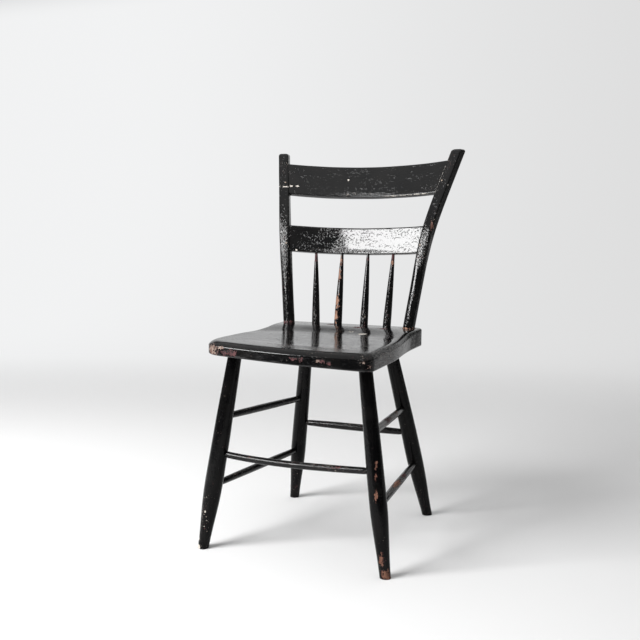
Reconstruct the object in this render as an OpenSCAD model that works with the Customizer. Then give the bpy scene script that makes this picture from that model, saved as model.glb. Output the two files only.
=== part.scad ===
// Half-spindle kitchen chair: a dished plank seat, four raked turned legs tied by six
// stretchers, two bent back posts, a crest rail, a mid slat and four tapered spindles.
// Millimetres. +Z is up, the sitter faces -Y, and the floor is z = 0.

/* [Overall] */
// Height of the raised rear band of the seat above the floor
seat_h = 436; // [360:2:530]
// Height of the back posts' tops above the floor
back_h = 826; // [690:2:1000]

/* [Seat plank] */
// Width across the front, at the widest place
seat_w_front = 352; // [292:2:430]
// Width across the rear corners
seat_w_back = 330; // [290:2:396]
// Depth from the middle of the front edge to the rear edge
seat_d = 391; // [340:1:470]
// Plank thickness at the raised rear band
seat_t = 34; // [30:1:42]
// How far the front edge bows forward of its corners
front_bow = 20; // [0:1:35]
// Plan radius of the front right corner
front_corner_r = 19; // [8:1:40]
// Plan radius of the front left corner, which is worn rounder
worn_corner_r = 50; // [8:1:60]
// Plan radius of the rear corners
rear_corner_r = 18; // [6:1:25]
// Depth of the hollow cut in front of the raised rear band
dish = 5.5; // [3:0.5:12]
// Further depth of the hollow in the middle of the seat
bowl = 4; // [0:0.5:6]
// Further fall of the top over the rounded front
front_fall = 2; // [0:0.5:7]
// Depth of the raised rear band, front to back
rear_band = 47; // [44:1:60]
// Radius of the broad roll over the front and side edges
roll_r = 22; // [8:1:24]
// Rounding of the crisp line below the roll
top_edge_r = 3; // [2:0.5:5]
// Rounding of the rear top edge, which the roll dies into
rear_edge_r = 6; // [2:0.5:8]
// Rounding of the bottom edge
bottom_edge_r = 3; // [1:0.5:5]
// How far the dried plank has twisted: front left corner above front right
seat_twist = 9; // [0:0.5:12]
// How much thicker the plank is along its right side than along its left
right_thicker = 5; // [0:0.5:6]

/* [Legs] */
// Greatest diameter of a front leg
front_belly_d = 34; // [28:0.5:40]
// Greatest diameter of a rear leg
rear_belly_d = 32.5; // [28:0.5:40]
// Diameter of a leg at the foot
leg_foot_d = 21.5; // [16:0.5:26]
// Diameter of a leg where it enters the seat
leg_neck_d = 26; // [22:0.5:30]
// How much thicker the front left leg is than the front nominal size, which the right one has
front_left_thicker = 2.8; // [0:0.1:4]
// How much thicker the rear left leg is than the rear nominal size
rear_left_thicker = 1.8; // [0:0.1:4]
// How much thicker the rear right leg is than the rear nominal size
rear_right_thicker = 3; // [0:0.1:4]
// Height of the belly above the floor
leg_belly_h = 140; // [110:5:170]
// Depth of a leg's blind socket in the seat
leg_tenon = 16; // [10:0.5:18]
// Front legs: axis at the seat, in from the side of the seat
front_leg_in_x = 38; // [34:1:70]
// Front legs: axis at the seat, back from the front edge
front_leg_in_y = 88; // [60:1:110]
// Front legs: sideways splay in degrees
front_leg_splay = 8.2; // [4:0.1:11]
// Front legs: forward rake in degrees
front_leg_rake = 4.9; // [0:0.1:9]
// Rear legs: axis at the seat, in from the side of the seat
rear_leg_in_x = 68; // [55:1:85]
// Rear legs: axis at the seat, forward from the rear edge
rear_leg_in_y = 35; // [30:1:50]
// Rear legs: sideways splay in degrees
rear_leg_splay = 9.8; // [4:0.1:11]
// Rear legs: backward rake in degrees
rear_leg_rake = 12.1; // [4:0.1:14]

/* [Stretchers] */
// Diameter of a stretcher's round tenon
stretcher_tenon_d = 12; // [10:0.5:13]
// Diameter of the front stretcher at its middle
front_stretcher_d = 14; // [13.5:0.5:18]
// Diameter of the back stretcher at its middle
back_stretcher_d = 16.3; // [14:0.1:18]
// Diameter of a side stretcher at its middle
side_stretcher_d = 15.2; // [14:0.1:18]
// How far a tenon runs past the axis of the leg that holds it
tenon_past_axis = 6; // [3:0.5:8]
// Height of the front stretcher on the legs' axes
front_stretcher_h = 196; // [150:1:230]
// How far the front stretcher has sagged
front_stretcher_sag = 5.2; // [0:0.1:8]
// Height of the back stretcher on the legs' axes
back_stretcher_h = 197; // [150:1:230]
// Height of the upper side stretchers at the front legs
upper_front_h = 270; // [240:1:300]
// How much higher the left upper stretcher sits than the right one
upper_skew = 4; // [0:0.5:10]
// Height of the upper side stretchers at the rear legs
upper_rear_h = 256; // [235:1:290]
// Height of the lower side stretchers at the front legs
lower_front_h = 131; // [90:1:150]
// Height of the lower side stretchers at the rear legs
lower_rear_h = 127; // [90:1:150]

/* [Back posts] */
// Diameter of a post where it stands in the seat
post_d = 25.9; // [20:0.1:28]
// Width of a post's shaved upper length, side to side
post_top_w = 23.8; // [20:0.1:26]
// Thickness of a post's shaved upper length, front to back
post_top_t = 24.5; // [18:0.5:26]
// Axis of a post at the seat, in from the side of the rear corners
post_in_x = 23.2; // [20:0.1:40]
// Axis of a post at the seat, forward from the rear edge
post_in_y = 36.8; // [22:0.1:40]
// Depth of a post's blind socket in the seat
post_tenon = 24; // [15:1:26]
// Backward lean of the lower length in degrees
post_lean_low = 9.3; // [3:0.1:12]
// Backward lean of the upper length in degrees
post_lean_high = 26.6; // [14:0.1:30]
// Outward splay of the lower length in degrees
post_splay_low = 7.2; // [2:0.1:9]
// Outward splay of the upper length in degrees
post_splay_high = 13.8; // [8:0.1:15]
// Start of the bend above the seat
bend_start = 116; // [80:1:160]
// Height over which the post is bent
bend_h = 183; // [80:1:200]
// Inward turn of the shaved faces in degrees
post_turn = 8; // [0:1:16]

/* [Slats and spindles] */
// Width of the crest rail, along its lean
crest_w = 77.5; // [60:0.5:100]
// Width of the mid slat, along its lean
slat_w = 60; // [45:1:75]
// Thickness of both slats
slat_t = 12.5; // [10:0.5:15]
// Post left standing above the crest rail's middle, measured upright
crest_drop = 63; // [50:1:80]
// Height between the middles of the crest rail and the mid slat
slat_pitch = 136.5; // [115:0.5:160]
// Backward bow of each slat between the posts
slat_bow = 21; // [8:1:30]
// Rounding of the slats' long edges
slat_edge_r = 2; // [0.5:0.5:4]
// Thickness of a slat's tenon
slat_tenon_t = 7; // [5:0.5:9]
// Length of a slat's tenon in its post
slat_tenon_l = 14; // [8:0.5:16]
// Height of each shoulder above and below a slat's tenon
slat_shoulder = 7; // [4:0.5:12]
// Offset of the inner spindles from the middle
spindle_inner = 31; // [20:1:40]
// Offset of the outer spindles from the middle, at the seat
spindle_outer = 84; // [65:1:95]
// Offset of the outer spindles from the middle, at the mid slat
spindle_outer_top = 92; // [70:1:100]
// Spindles' axes at the seat, forward from the rear edge
spindle_in_y = 17; // [14:1:26]
// Diameter of a spindle at the seat
spindle_d = 18; // [12:0.5:20]
// Diameter of a spindle at its top
spindle_top_d = 6.2; // [5:0.1:8]
// Depth of a spindle's socket in the seat
spindle_tenon = 18; // [12:1:22]
// Depth of a spindle's socket in the mid slat
spindle_top_tenon = 12; // [8:1:16]
// Diameter of a peg that locks a slat's tenon
peg_d = 3.6; // [2.5:0.1:4.5]
// How far a peg sits below the middle of its slat, along the lean
peg_low = 15; // [0:1:18]

/* [Fits] */
// Radial play of a round tenon in its socket
play = 0.15; // [0.1:0.05:0.4]
// Gap at the bottom of every blind socket
end_gap = 0.4; // [0.2:0.1:1]
// Gap between a slat's shoulder and its post
shoulder_gap = 0.3; // [0.2:0.1:0.6]

/* [Hidden] */

LEFT = -1;
RIGHT = 1;
$fn = 48;

seat_bottom = seat_h - seat_t;
front_half = seat_w_front / 2;
rear_half = seat_w_back / 2;
// Working y: zero is midway along the seat, the rear edge is at +seat_d / 2
front_y = -seat_d / 2;
rear_y = seat_d / 2;

// ---------------------------------------------------------------- small functions

function smooth(t) = let (c = max(0, min(1, t))) c * c * (3 - 2 * c);
function mix(a, b, t) = a + (b - a) * t;
function unit(v) = v / norm(v);
// Length gained after a smooth change of slope that starts at 0 and ends at span
function smooth_run(s, span) =
    let (u = max(0, min(1, s / span)))
    span * (pow(u, 3) - pow(u, 4) / 2) + max(0, s - span);

// Sets a child that stands on the origin along +Z onto the line between two points,
// without rolling it about that line
module along(from, to) {
    axis = to - from;
    heading = atan2(axis[1], axis[0]);
    translate(from)
        rotate([0, acos(axis[2] / norm(axis)), heading])
            rotate([0, 0, -heading])
                children();
}

// ---------------------------------------------------------------- seat plank

SIDE_STEPS = 16;
EDGE_STEPS = 8;
CORNER_STEPS = 5;

// Half width of the plank at depth y: full at the front, drawn in towards the rear
function seat_half(y) =
    mix(front_half, rear_half, smooth((y - front_y - 135) / (seat_d - 220)));

rear_corner_y = rear_y - rear_corner_r;
// Front edge at x: it bows forward in the middle
function front_edge(x) = front_y + front_bow * pow(x / front_half, 2);

// Half of the plan outline, from the middle of the front to the middle of the rear, whose
// front corner has radius r
function half_outline(r) =
    let (corner_x = front_half - r, corner_y = front_edge(corner_x) + r)
    concat(
        [for (i = [0 : EDGE_STEPS - 1])
            let (x = corner_x * i / EDGE_STEPS)
            [x, front_edge(x)]],
        [for (i = [0 : CORNER_STEPS])
            let (a = 90 * i / CORNER_STEPS)
            [corner_x + r * sin(a), corner_y - r * cos(a)]],
        [for (i = [1 : SIDE_STEPS - 1])
            let (y = mix(corner_y, rear_corner_y, i / SIDE_STEPS))
            [seat_half(y), y]],
        [for (i = [0 : CORNER_STEPS])
            let (a = 90 * i / CORNER_STEPS)
            [rear_half - rear_corner_r * (1 - cos(a)), rear_corner_y + rear_corner_r * sin(a)]],
        [for (i = [EDGE_STEPS - 1 : -1 : 0])
            [(rear_half - rear_corner_r) * i / EDGE_STEPS, rear_y]]
    );
right_outline = half_outline(front_corner_r);
left_outline = half_outline(worn_corner_r);
outline = concat(
    right_outline,
    [for (i = [len(left_outline) - 2 : -1 : 1]) [-left_outline[i][0], left_outline[i][1]]]
);

// Twist of the dried plank, which dies out towards the rear band
function twist_z(x, y) =
    -seat_twist / 2 * x / front_half * max(0, min(1, (rear_y - rear_band - y) / (seat_d - rear_band)));

// Top of the plank: a level rear band, a hollow that starts later towards the sides,
// and a rounded fall to the front edge
function top_z(x, y) =
    let (
        side = pow(min(1, abs(x) / rear_half), 2),
        hollow_start = rear_y - rear_band - mix(0, 38, side),
        hollow_run = mix(70, 105, side),
        middle = bowl * (1 - side) * smooth((y - front_y) / 120) * smooth((rear_y - rear_band - y) / 80)
    )
    seat_h + twist_z(x, y) - middle
        - dish * smooth((hollow_start - y) / hollow_run)
        - front_fall * pow(max(0, min(1, (front_y + 105 - y) / 105)), 1.6);
function bottom_z(x, y) =
    seat_bottom + twist_z(x, y) - right_thicker * pow((x / front_half + 1) / 2, 2);

// The top edge turns down over a broad roll, up to ROLL_TURN degrees, then over a small
// radius to upright. The broad roll narrows to rear_edge_r beside the posts.
ROLL_TURN = 50;
ROLL_FADE_START = 125;
ROLL_FADE = 85;
function roll_at(p) = mix(roll_r, rear_edge_r, smooth((p[1] - rear_y + ROLL_FADE_START) / ROLL_FADE));
function roll_inset(p, a) =
    roll_at(p) * (sin(ROLL_TURN) - sin(min(a, ROLL_TURN))) + top_edge_r * (1 - sin(max(a, ROLL_TURN)));
function roll_drop(p, a) =
    roll_at(p) * (1 - cos(min(a, ROLL_TURN))) + top_edge_r * (cos(ROLL_TURN) - cos(max(a, ROLL_TURN)));

// Point of the plank's skin, inset from outline point p, on the underside or the top
function skin_point(p, inset, on_top, offset) =
    let (k = 1 - inset / (seat_d / 2), x = p[0] * k, y = p[1] * k)
    [x, y, (on_top ? top_z(x, y) : bottom_z(x, y)) + offset];

BOTTOM_INSETS = [165, 135, 105, 75, 50, 25];
TOP_INSETS = [25, 36, 50, 66, 84, 104, 124, 144, 164, 180];
BOTTOM_TURNS = [0, 30, 60, 90];
TOP_TURNS = [90, 76, 62, 50, 38, 25, 12, 0];
// Rings of the plank from the middle of the underside, round the edge, to the middle of
// the top
seat_rings = concat(
    [for (inset = BOTTOM_INSETS) [for (p = outline) skin_point(p, inset, false, 0)]],
    [for (a = BOTTOM_TURNS) [for (p = outline)
        skin_point(p, bottom_edge_r * (1 - sin(a)), false, bottom_edge_r * (1 - cos(a)))]],
    [for (a = TOP_TURNS) [for (p = outline)
        skin_point(p, roll_inset(p, a), true, -roll_drop(p, a))]],
    [for (inset = TOP_INSETS) [for (p = outline) skin_point(p, inset, true, 0)]]
);

// Closed skin through rings of equal length, with a fan at each end
module skin(rings, first_cap, last_cap) {
    sides = len(rings[0]);
    count = len(rings);
    points = concat([for (ring = rings) each ring], [first_cap, last_cap]);
    walls = [for (j = [0 : count - 2]) for (i = [0 : sides - 1])
        let (n = (i + 1) % sides)
        each [
            [j * sides + i, (j + 1) * sides + n, j * sides + n],
            [j * sides + i, (j + 1) * sides + i, (j + 1) * sides + n]
        ]];
    first_fan = [for (i = [0 : sides - 1]) [i, (i + 1) % sides, count * sides]];
    last_fan = [for (i = [0 : sides - 1])
        [(count - 1) * sides + (i + 1) % sides, (count - 1) * sides + i, count * sides + 1]];
    polyhedron(points = points, faces = concat(walls, first_fan, last_fan));
}

module plank() {
    skin(seat_rings, [0, 0, bottom_z(0, 0)], [0, 0, top_z(0, 0)]);
}

// ---------------------------------------------------------------- legs

// Axis of a leg: the points where it meets the floor and the seat's underside
function leg_top(side, front) = front
    ? [side * (front_half - front_leg_in_x), front_y + front_leg_in_y, seat_bottom]
    : [side * (rear_half - rear_leg_in_x), rear_y - rear_leg_in_y, seat_bottom];
function leg_slope(side, front) = front
    ? [side * tan(front_leg_splay), -tan(front_leg_rake)]
    : [side * tan(rear_leg_splay), tan(rear_leg_rake)];
function leg_at(side, front, z) =
    let (top = leg_top(side, front), slope = leg_slope(side, front), fall = seat_bottom - z)
    [top[0] + slope[0] * fall, top[1] + slope[1] * fall, z];

LEG_STEPS = 20;
LEG_BELOW_FLOOR = 6;

function belly_d(front) = front ? front_belly_d : rear_belly_d;
// How much thicker a leg is than its nominal size
function leg_thicker(side, front) = front
    ? (side == LEFT ? front_left_thicker : 0)
    : (side == LEFT ? rear_left_thicker : rear_right_thicker);
// Radius of a leg by the height of its axis: a slim foot, a belly, and a long taper
function leg_r(side, front, z) =
    let (
        more = leg_thicker(side, front),
        foot_d = leg_foot_d + 0.3 * more,
        widest_d = belly_d(front) + more,
        neck_d = leg_neck_d + 0.6 * more
    )
    z < leg_belly_h
    ? mix(foot_d, widest_d, pow(sin(90 * max(0, z) / leg_belly_h), 1.6)) / 2
    : mix(widest_d, neck_d, pow((z - leg_belly_h) / (seat_bottom - leg_belly_h), 1.5)) / 2;

// Turned shape of a leg up to height end_z, with extra added to its radius
module leg_turning(side, front, end_z, extra) {
    foot = leg_at(side, front, 0);
    axis = leg_at(side, front, end_z) - foot;
    stretch = norm(axis) / end_z;
    heights = concat(
        [-LEG_BELOW_FLOOR],
        [for (i = [0 : LEG_STEPS]) end_z * i / LEG_STEPS]
    );
    along(foot, foot + axis)
        rotate_extrude()
            polygon(concat(
                [[0, -LEG_BELOW_FLOOR * stretch]],
                [for (z = heights) [leg_r(side, front, z) + extra, z * stretch]],
                [[0, end_z * stretch]]
            ));
}

function socket_end_z(side, front) =
    let (top = leg_top(side, front)) bottom_z(top[0], top[1]) + leg_tenon;

module leg(side, front) {
    end_z = socket_end_z(side, front) - end_gap;
    color("#141312") difference() {
        leg_turning(side, front, end_z, 0);
        below_floor();
        for (s = stretchers_of(side, front)) stretcher_socket(s[0], s[1]);
    }
}

module below_floor() {
    reach = 2 * seat_d;
    translate([-reach, -reach, -LEG_BELOW_FLOOR * 4])
        cube([2 * reach, 2 * reach, LEG_BELOW_FLOOR * 4]);
}

// ---------------------------------------------------------------- stretchers

// Axis ends of each stretcher, on the axes of the two legs that hold it
front_stretcher = [
    leg_at(LEFT, true, front_stretcher_h), leg_at(RIGHT, true, front_stretcher_h)];
rear_stretcher = [
    leg_at(LEFT, false, back_stretcher_h), leg_at(RIGHT, false, back_stretcher_h)];
function upper_stretcher(side) =
    let (raise = -side * upper_skew / 2)
    [leg_at(side, true, upper_front_h + raise), leg_at(side, false, upper_rear_h + raise)];
function lower_stretcher(side) = [
    leg_at(side, true, lower_front_h), leg_at(side, false, lower_rear_h)];

// The stretchers held by a leg, each as [axis point on this leg, axis point on the other]
function stretchers_of(side, front) =
    let (
        cross_tie = front ? front_stretcher : rear_stretcher,
        here = front ? 0 : 1,
        upper = upper_stretcher(side),
        lower = lower_stretcher(side)
    )
    [
        side == LEFT ? [cross_tie[0], cross_tie[1]] : [cross_tie[1], cross_tie[0]],
        [upper[here], upper[1 - here]],
        [lower[here], lower[1 - here]]
    ];

// Blind hole in a leg for the tenon of the stretcher that runs from here to there
module stretcher_socket(here, there) {
    along(here, there)
        translate([0, 0, -tenon_past_axis - end_gap])
            cylinder(d = stretcher_tenon_d + 2 * play, h = tenon_past_axis + end_gap + front_belly_d);
}

// Turned stretcher: a round tenon at each end and a long swell between
SWELL_STEPS = 14;
stretcher_neck = front_belly_d / 2 + 3;
// Outline of a stretcher, each point as [radius, distance from the first axis]
function stretcher_profile(length, middle_d) =
    let (
        tenon_r = stretcher_tenon_d / 2,
        neck_r = tenon_r + 0.6,
        swell = length - 2 * stretcher_neck
    )
    concat(
        [[tenon_r, -tenon_past_axis], [tenon_r, stretcher_neck]],
        [for (i = [0 : SWELL_STEPS])
            let (t = i / SWELL_STEPS)
            [mix(neck_r, middle_d / 2, pow(sin(180 * t), 0.7)), stretcher_neck + 1 + (swell - 2) * t]],
        [[tenon_r, length - stretcher_neck], [tenon_r, length + tenon_past_axis]]
    );

module stretcher(ends, middle_d) {
    length = norm(ends[1] - ends[0]);
    color("#161514") along(ends[0], ends[1]) rotate_extrude() polygon(concat(
        [[0, -tenon_past_axis]],
        stretcher_profile(length, middle_d),
        [[0, length + tenon_past_axis]]
    ));
}

// Stretcher that runs along X and has sagged between its tenons, most near its left end
SAG_SIDES = 28;
SAG_LEAN = 0.8;
module sagged_stretcher(ends, middle_d, sag) {
    length = norm(ends[1] - ends[0]);
    run = length - 2 * stretcher_neck;
    function sag_at(s) =
        let (t = max(0, min(1, (s - stretcher_neck) / run)))
        sag * sin(180 * pow(t, SAG_LEAN));
    function centre_at(s) = ends[0] + [s, 0, -sag_at(s)];
    color("#161514") skin(
        [for (q = stretcher_profile(length, middle_d))
            [for (i = [0 : SAG_SIDES - 1])
                let (a = 360 * i / SAG_SIDES)
                centre_at(q[1]) + [0, q[0] * sin(a), q[0] * cos(a)]]],
        centre_at(-tenon_past_axis),
        centre_at(length + tenon_past_axis)
    );
}

// ---------------------------------------------------------------- back posts

POST_SIDES = 28;
POST_RING_STEP = 13;

// Centre line of the right post at height z
function post_at(z) =
    let (
        rise = z - seat_h,
        bent = smooth_run(rise - bend_start, bend_h)
    )
    [
        rear_half - post_in_x + tan(post_splay_low) * rise
            + (tan(post_splay_high) - tan(post_splay_low)) * bent,
        rear_y - post_in_y + tan(post_lean_low) * rise
            + (tan(post_lean_high) - tan(post_lean_low)) * bent,
        z
    ];
function post_axis(z) = unit(post_at(z + 0.5) - post_at(z - 0.5));
// How far the section has gone from round to shaved
function shaved(z) = smooth((z - seat_h - bend_start + 30) / bend_h);
// Across direction of the section: outward, level with the slats, turned by post_turn
function post_across(z) =
    let (a = post_turn * shaved(z), axis = post_axis(z), out = [cos(a), -sin(a), 0])
    unit(out - axis * (out * axis));
function post_frame(z) =
    let (p = post_at(z), u = post_across(z), w = post_axis(z), v = cross(w, u))
    [
        [u[0], v[0], w[0], p[0]],
        [u[1], v[1], w[1], p[1]],
        [u[2], v[2], w[2], p[2]],
        [0, 0, 0, 1]
    ];

// Half sizes and squareness of the section
function post_half_w(z) = mix(post_d, post_top_w, shaved(z)) / 2;
function post_half_t(z) = mix(post_d, post_top_t, shaved(z)) / 2;
function post_square(z) = mix(2, 6, shaved(z));
function section_r(a, half_w, half_t, n) =
    pow(pow(abs(cos(a)) / half_w, n) + pow(abs(sin(a)) / half_t, n), -1 / n);
function post_ring(z) =
    let (p = post_at(z), u = post_across(z), v = cross(post_axis(z), u))
    [for (i = [0 : POST_SIDES - 1])
        let (
            a = -360 * i / POST_SIDES,
            r = section_r(a, post_half_w(z), post_half_t(z), post_square(z))
        )
        p + r * cos(a) * u + r * sin(a) * v];

post_base_z = seat_h - post_tenon + end_gap;
// The blank runs past the top, where it is sawn off level
post_blank_z = back_h + post_top_t;
post_ring_count = floor((post_blank_z - post_base_z) / POST_RING_STEP);
post_heights = [for (i = [0 : post_ring_count])
    mix(post_base_z, post_blank_z, i / post_ring_count)];

module post_blank() {
    reach = 2 * crest_w;
    difference() {
        skin(
            [for (z = post_heights) post_ring(z)],
            post_at(post_base_z),
            post_at(post_blank_z)
        );
        translate(post_at(back_h) - [reach / 2, reach / 2, 0])
            cube([reach, reach, 2 * post_top_t]);
    }
}

module post(side) {
    color("#131211") mirror_to(side) difference() {
        post_blank();
        for (s = slats) slat_tenon(s, slat_tenon_l + end_gap, play);
        for (s = slats) peg(s, play, end_gap);
    }
}

module mirror_to(side) {
    if (side == LEFT) mirror([1, 0, 0]) children();
    else children();
}

// Round socket in the seat, along the straight lower length of the right post
module post_socket() {
    along(post_at(seat_h - post_tenon), post_at(seat_h + post_tenon))
        cylinder(d = post_d + 2 * play, h = 2 * post_tenon);
}

// ---------------------------------------------------------------- slats

// Each slat is [height of its middle, width along its lean]
crest = [back_h - crest_drop, crest_w];
mid = [back_h - crest_drop - slat_pitch, slat_w];
slats = [crest, mid];

// Lean of a slat, which lies in line with the posts
function lean_of(s) = let (axis = post_axis(s[0])) atan2(axis[1], axis[2]);
// Half the clear width between the posts at a slat's middle
function half_span(s) = post_at(s[0])[0] - post_half_w(s[0]);
function bow_r(s) = (pow(half_span(s), 2) + pow(slat_bow, 2)) / (2 * slat_bow);
// Backward offset of a slat's middle surface at x, in its own leaning frame
function bow_y(s, x) = slat_bow - bow_r(s) + sqrt(pow(bow_r(s), 2) - x * x);

module slat_place(s) {
    translate([0, post_at(s[0])[1], s[0]])
        rotate([-lean_of(s), 0, 0])
            children();
}

// Tenon of a slat in the right post's frame, reaching into the post from its inner face
module slat_tenon(s, length, extra) {
    face = post_half_w(s[0]);
    root = face + 4;
    thick = slat_tenon_t + 2 * extra;
    tall = s[1] - 2 * slat_shoulder + 2 * extra;
    multmatrix(post_frame(s[0]))
        translate([-root, -thick / 2, -tall / 2])
            cube([root - face + length, thick, tall]);
}

// Everything outside the shoulder line at the right post, which is widest at the slat's
// lower edge
module beyond_shoulder(s) {
    reach = 2 * crest_w;
    shoulder = post_half_w(s[0] - s[1] / 2) + shoulder_gap;
    multmatrix(post_frame(s[0]))
        translate([-shoulder, -reach / 2, -reach])
            cube([reach, reach, 2 * reach]);
}

// Bent board whose long edges are rounded
module bent_board(s) {
    turn = asin((half_span(s) + slat_bow) / bow_r(s));
    r = bow_r(s);
    half_t = slat_t / 2;
    half_w = s[1] / 2;
    translate([0, slat_bow - r, 0])
        rotate([0, 0, 90 - turn])
            rotate_extrude(angle = 2 * turn, $fn = 180)
                translate([r, 0])
                    round_edged(half_t, half_w, slat_edge_r);
}

module round_edged(half_x, half_y, r) {
    square([2 * (half_x - r), 2 * half_y], center = true);
    square([2 * half_x, 2 * (half_y - r)], center = true);
    for (x = [-1, 1]) for (y = [-1, 1])
        translate([x * (half_x - r), y * (half_y - r)])
            circle(r = r, $fn = 24);
}

module slat(s) {
    color("#151414") difference() {
        union() {
            difference() {
                slat_place(s) bent_board(s);
                for (side = [LEFT, RIGHT]) mirror_to(side) beyond_shoulder(s);
            }
            for (side = [LEFT, RIGHT]) mirror_to(side) slat_tenon(s, slat_tenon_l, 0);
        }
        for (side = [LEFT, RIGHT]) mirror_to(side) peg(s, play, end_gap);
    }
}

// ---------------------------------------------------------------- pegs

PEG_PROUD = 0.3;
PEG_SHORT = 3;
// Peg through the right post and the tenon that it locks, in from the front
module peg(s, extra, deeper) {
    half_t = post_half_t(s[0]);
    in_tenon = slat_tenon_l / 2 - post_half_w(s[0]);
    multmatrix(post_frame(s[0]))
        translate([in_tenon, -half_t - PEG_PROUD, -peg_low])
            rotate([-90, 0, 0])
                cylinder(d = peg_d + 2 * extra, h = 2 * half_t + PEG_PROUD - PEG_SHORT + deeper);
}

// ---------------------------------------------------------------- spindles

SPINDLE_STEPS = 12;
function spindle_base(x) = [x, rear_y - spindle_in_y, seat_h - spindle_tenon];
// Point on the mid slat's underside, on the middle of its thickness
function slat_under(x) =
    let (lean = lean_of(mid), y = bow_y(mid, x), z = -mid[1] / 2)
    [
        x,
        post_at(mid[0])[1] + y * cos(lean) + z * sin(lean),
        mid[0] - y * sin(lean) + z * cos(lean)
    ];

// Axis of a spindle: [bottom of its seat socket, where it meets the mid slat]
function spindle_line(base_x, top_x) = [spindle_base(base_x), slat_under(top_x)];
spindles = [
    spindle_line(-spindle_outer, -spindle_outer_top),
    spindle_line(-spindle_inner, -spindle_inner),
    spindle_line(spindle_inner, spindle_inner),
    spindle_line(spindle_outer, spindle_outer_top)
];

module spindle(line) {
    length = norm(line[1] - line[0]);
    color("#171414") along(line[0], line[1]) rotate_extrude() polygon(concat(
        [[0, end_gap], [spindle_d / 2, end_gap], [spindle_d / 2, spindle_tenon]],
        [for (i = [1 : SPINDLE_STEPS])
            let (t = i / SPINDLE_STEPS)
            [mix(spindle_d, spindle_top_d, pow(t, 1.5)) / 2, mix(spindle_tenon, length - 2, t)]],
        [[spindle_top_d / 2, length + spindle_top_tenon - end_gap]],
        [[0, length + spindle_top_tenon - end_gap]]
    ));
}

module spindle_seat_socket(line) {
    along(line[0], line[1]) cylinder(d = spindle_d + 2 * play, h = 2 * spindle_tenon);
}

module spindle_slat_socket(line) {
    length = norm(line[1] - line[0]);
    along(line[0], line[1])
        translate([0, 0, length - spindle_top_tenon])
            cylinder(d = spindle_top_d + 2 * play, h = 2 * spindle_top_tenon);
}

// ---------------------------------------------------------------- placing

// The origin stands on the floor under the middle of the whole chair, front to back
post_reach = max([for (p = post_ring(back_h)) p[1] + (back_h - p[2]) * tan(post_lean_high)]);
crest_reach = post_at(crest[0])[1] + (slat_bow + slat_t / 2) * cos(lean_of(crest))
    + (crest_w / 2 - slat_edge_r) * sin(lean_of(crest));
middle_y = (front_y + max(post_reach, crest_reach)) / 2;
module placed() {
    translate([0, -middle_y, 0]) children();
}

// ---------------------------------------------------------------- pieces

module seat() {
    color("#1b1a1a") placed() difference() {
        plank();
        for (side = [LEFT, RIGHT]) for (front = [true, false])
            leg_turning(side, front, socket_end_z(side, front), play);
        for (side = [LEFT, RIGHT]) mirror_to(side) post_socket();
        for (line = spindles) spindle_seat_socket(line);
    }
}

module leg_front_left() { placed() leg(LEFT, true); }
module leg_front_right() { placed() leg(RIGHT, true); }
module leg_rear_left() { placed() leg(LEFT, false); }
module leg_rear_right() { placed() leg(RIGHT, false); }

module stretcher_front() {
    placed() sagged_stretcher(front_stretcher, front_stretcher_d, front_stretcher_sag);
}
module stretcher_rear() { placed() stretcher(rear_stretcher, back_stretcher_d); }
module stretcher_upper_left() { placed() stretcher(upper_stretcher(LEFT), side_stretcher_d); }
module stretcher_upper_right() { placed() stretcher(upper_stretcher(RIGHT), side_stretcher_d); }
module stretcher_lower_left() { placed() stretcher(lower_stretcher(LEFT), side_stretcher_d); }
module stretcher_lower_right() { placed() stretcher(lower_stretcher(RIGHT), side_stretcher_d); }

module post_left() { placed() post(LEFT); }
module post_right() { placed() post(RIGHT); }

module crest_rail() { placed() slat(crest); }
module mid_slat() {
    placed() difference() {
        slat(mid);
        for (line = spindles) spindle_slat_socket(line);
    }
}

module spindle_outer_left() { placed() spindle(spindles[0]); }
module spindle_inner_left() { placed() spindle(spindles[1]); }
module spindle_inner_right() { placed() spindle(spindles[2]); }
module spindle_outer_right() { placed() spindle(spindles[3]); }

module tenon_pegs() {
    color("#8a7a66") placed()
        for (side = [LEFT, RIGHT]) for (s = slats) mirror_to(side) peg(s, 0, 0);
}

seat();
leg_front_left();
leg_front_right();
leg_rear_left();
leg_rear_right();
stretcher_front();
stretcher_rear();
stretcher_upper_left();
stretcher_upper_right();
stretcher_lower_left();
stretcher_lower_right();
post_left();
post_right();
crest_rail();
mid_slat();
spindle_outer_left();
spindle_inner_left();
spindle_inner_right();
spindle_outer_right();
tenon_pegs();
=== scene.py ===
"""Half-spindle kitchen chair in old black gloss that has chipped through to primer and wood.

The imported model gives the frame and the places. Each sub-assembly below rebuilds its pieces
as finished surfaces in that frame, in metres: +Z is up and the sitter faces -Y.
"""
import logging
import math
from collections.abc import Callable
from dataclasses import dataclass, field
from enum import Enum
from functools import cache

import bmesh
import bpy
from mathutils import Matrix, Vector, noise


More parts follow.
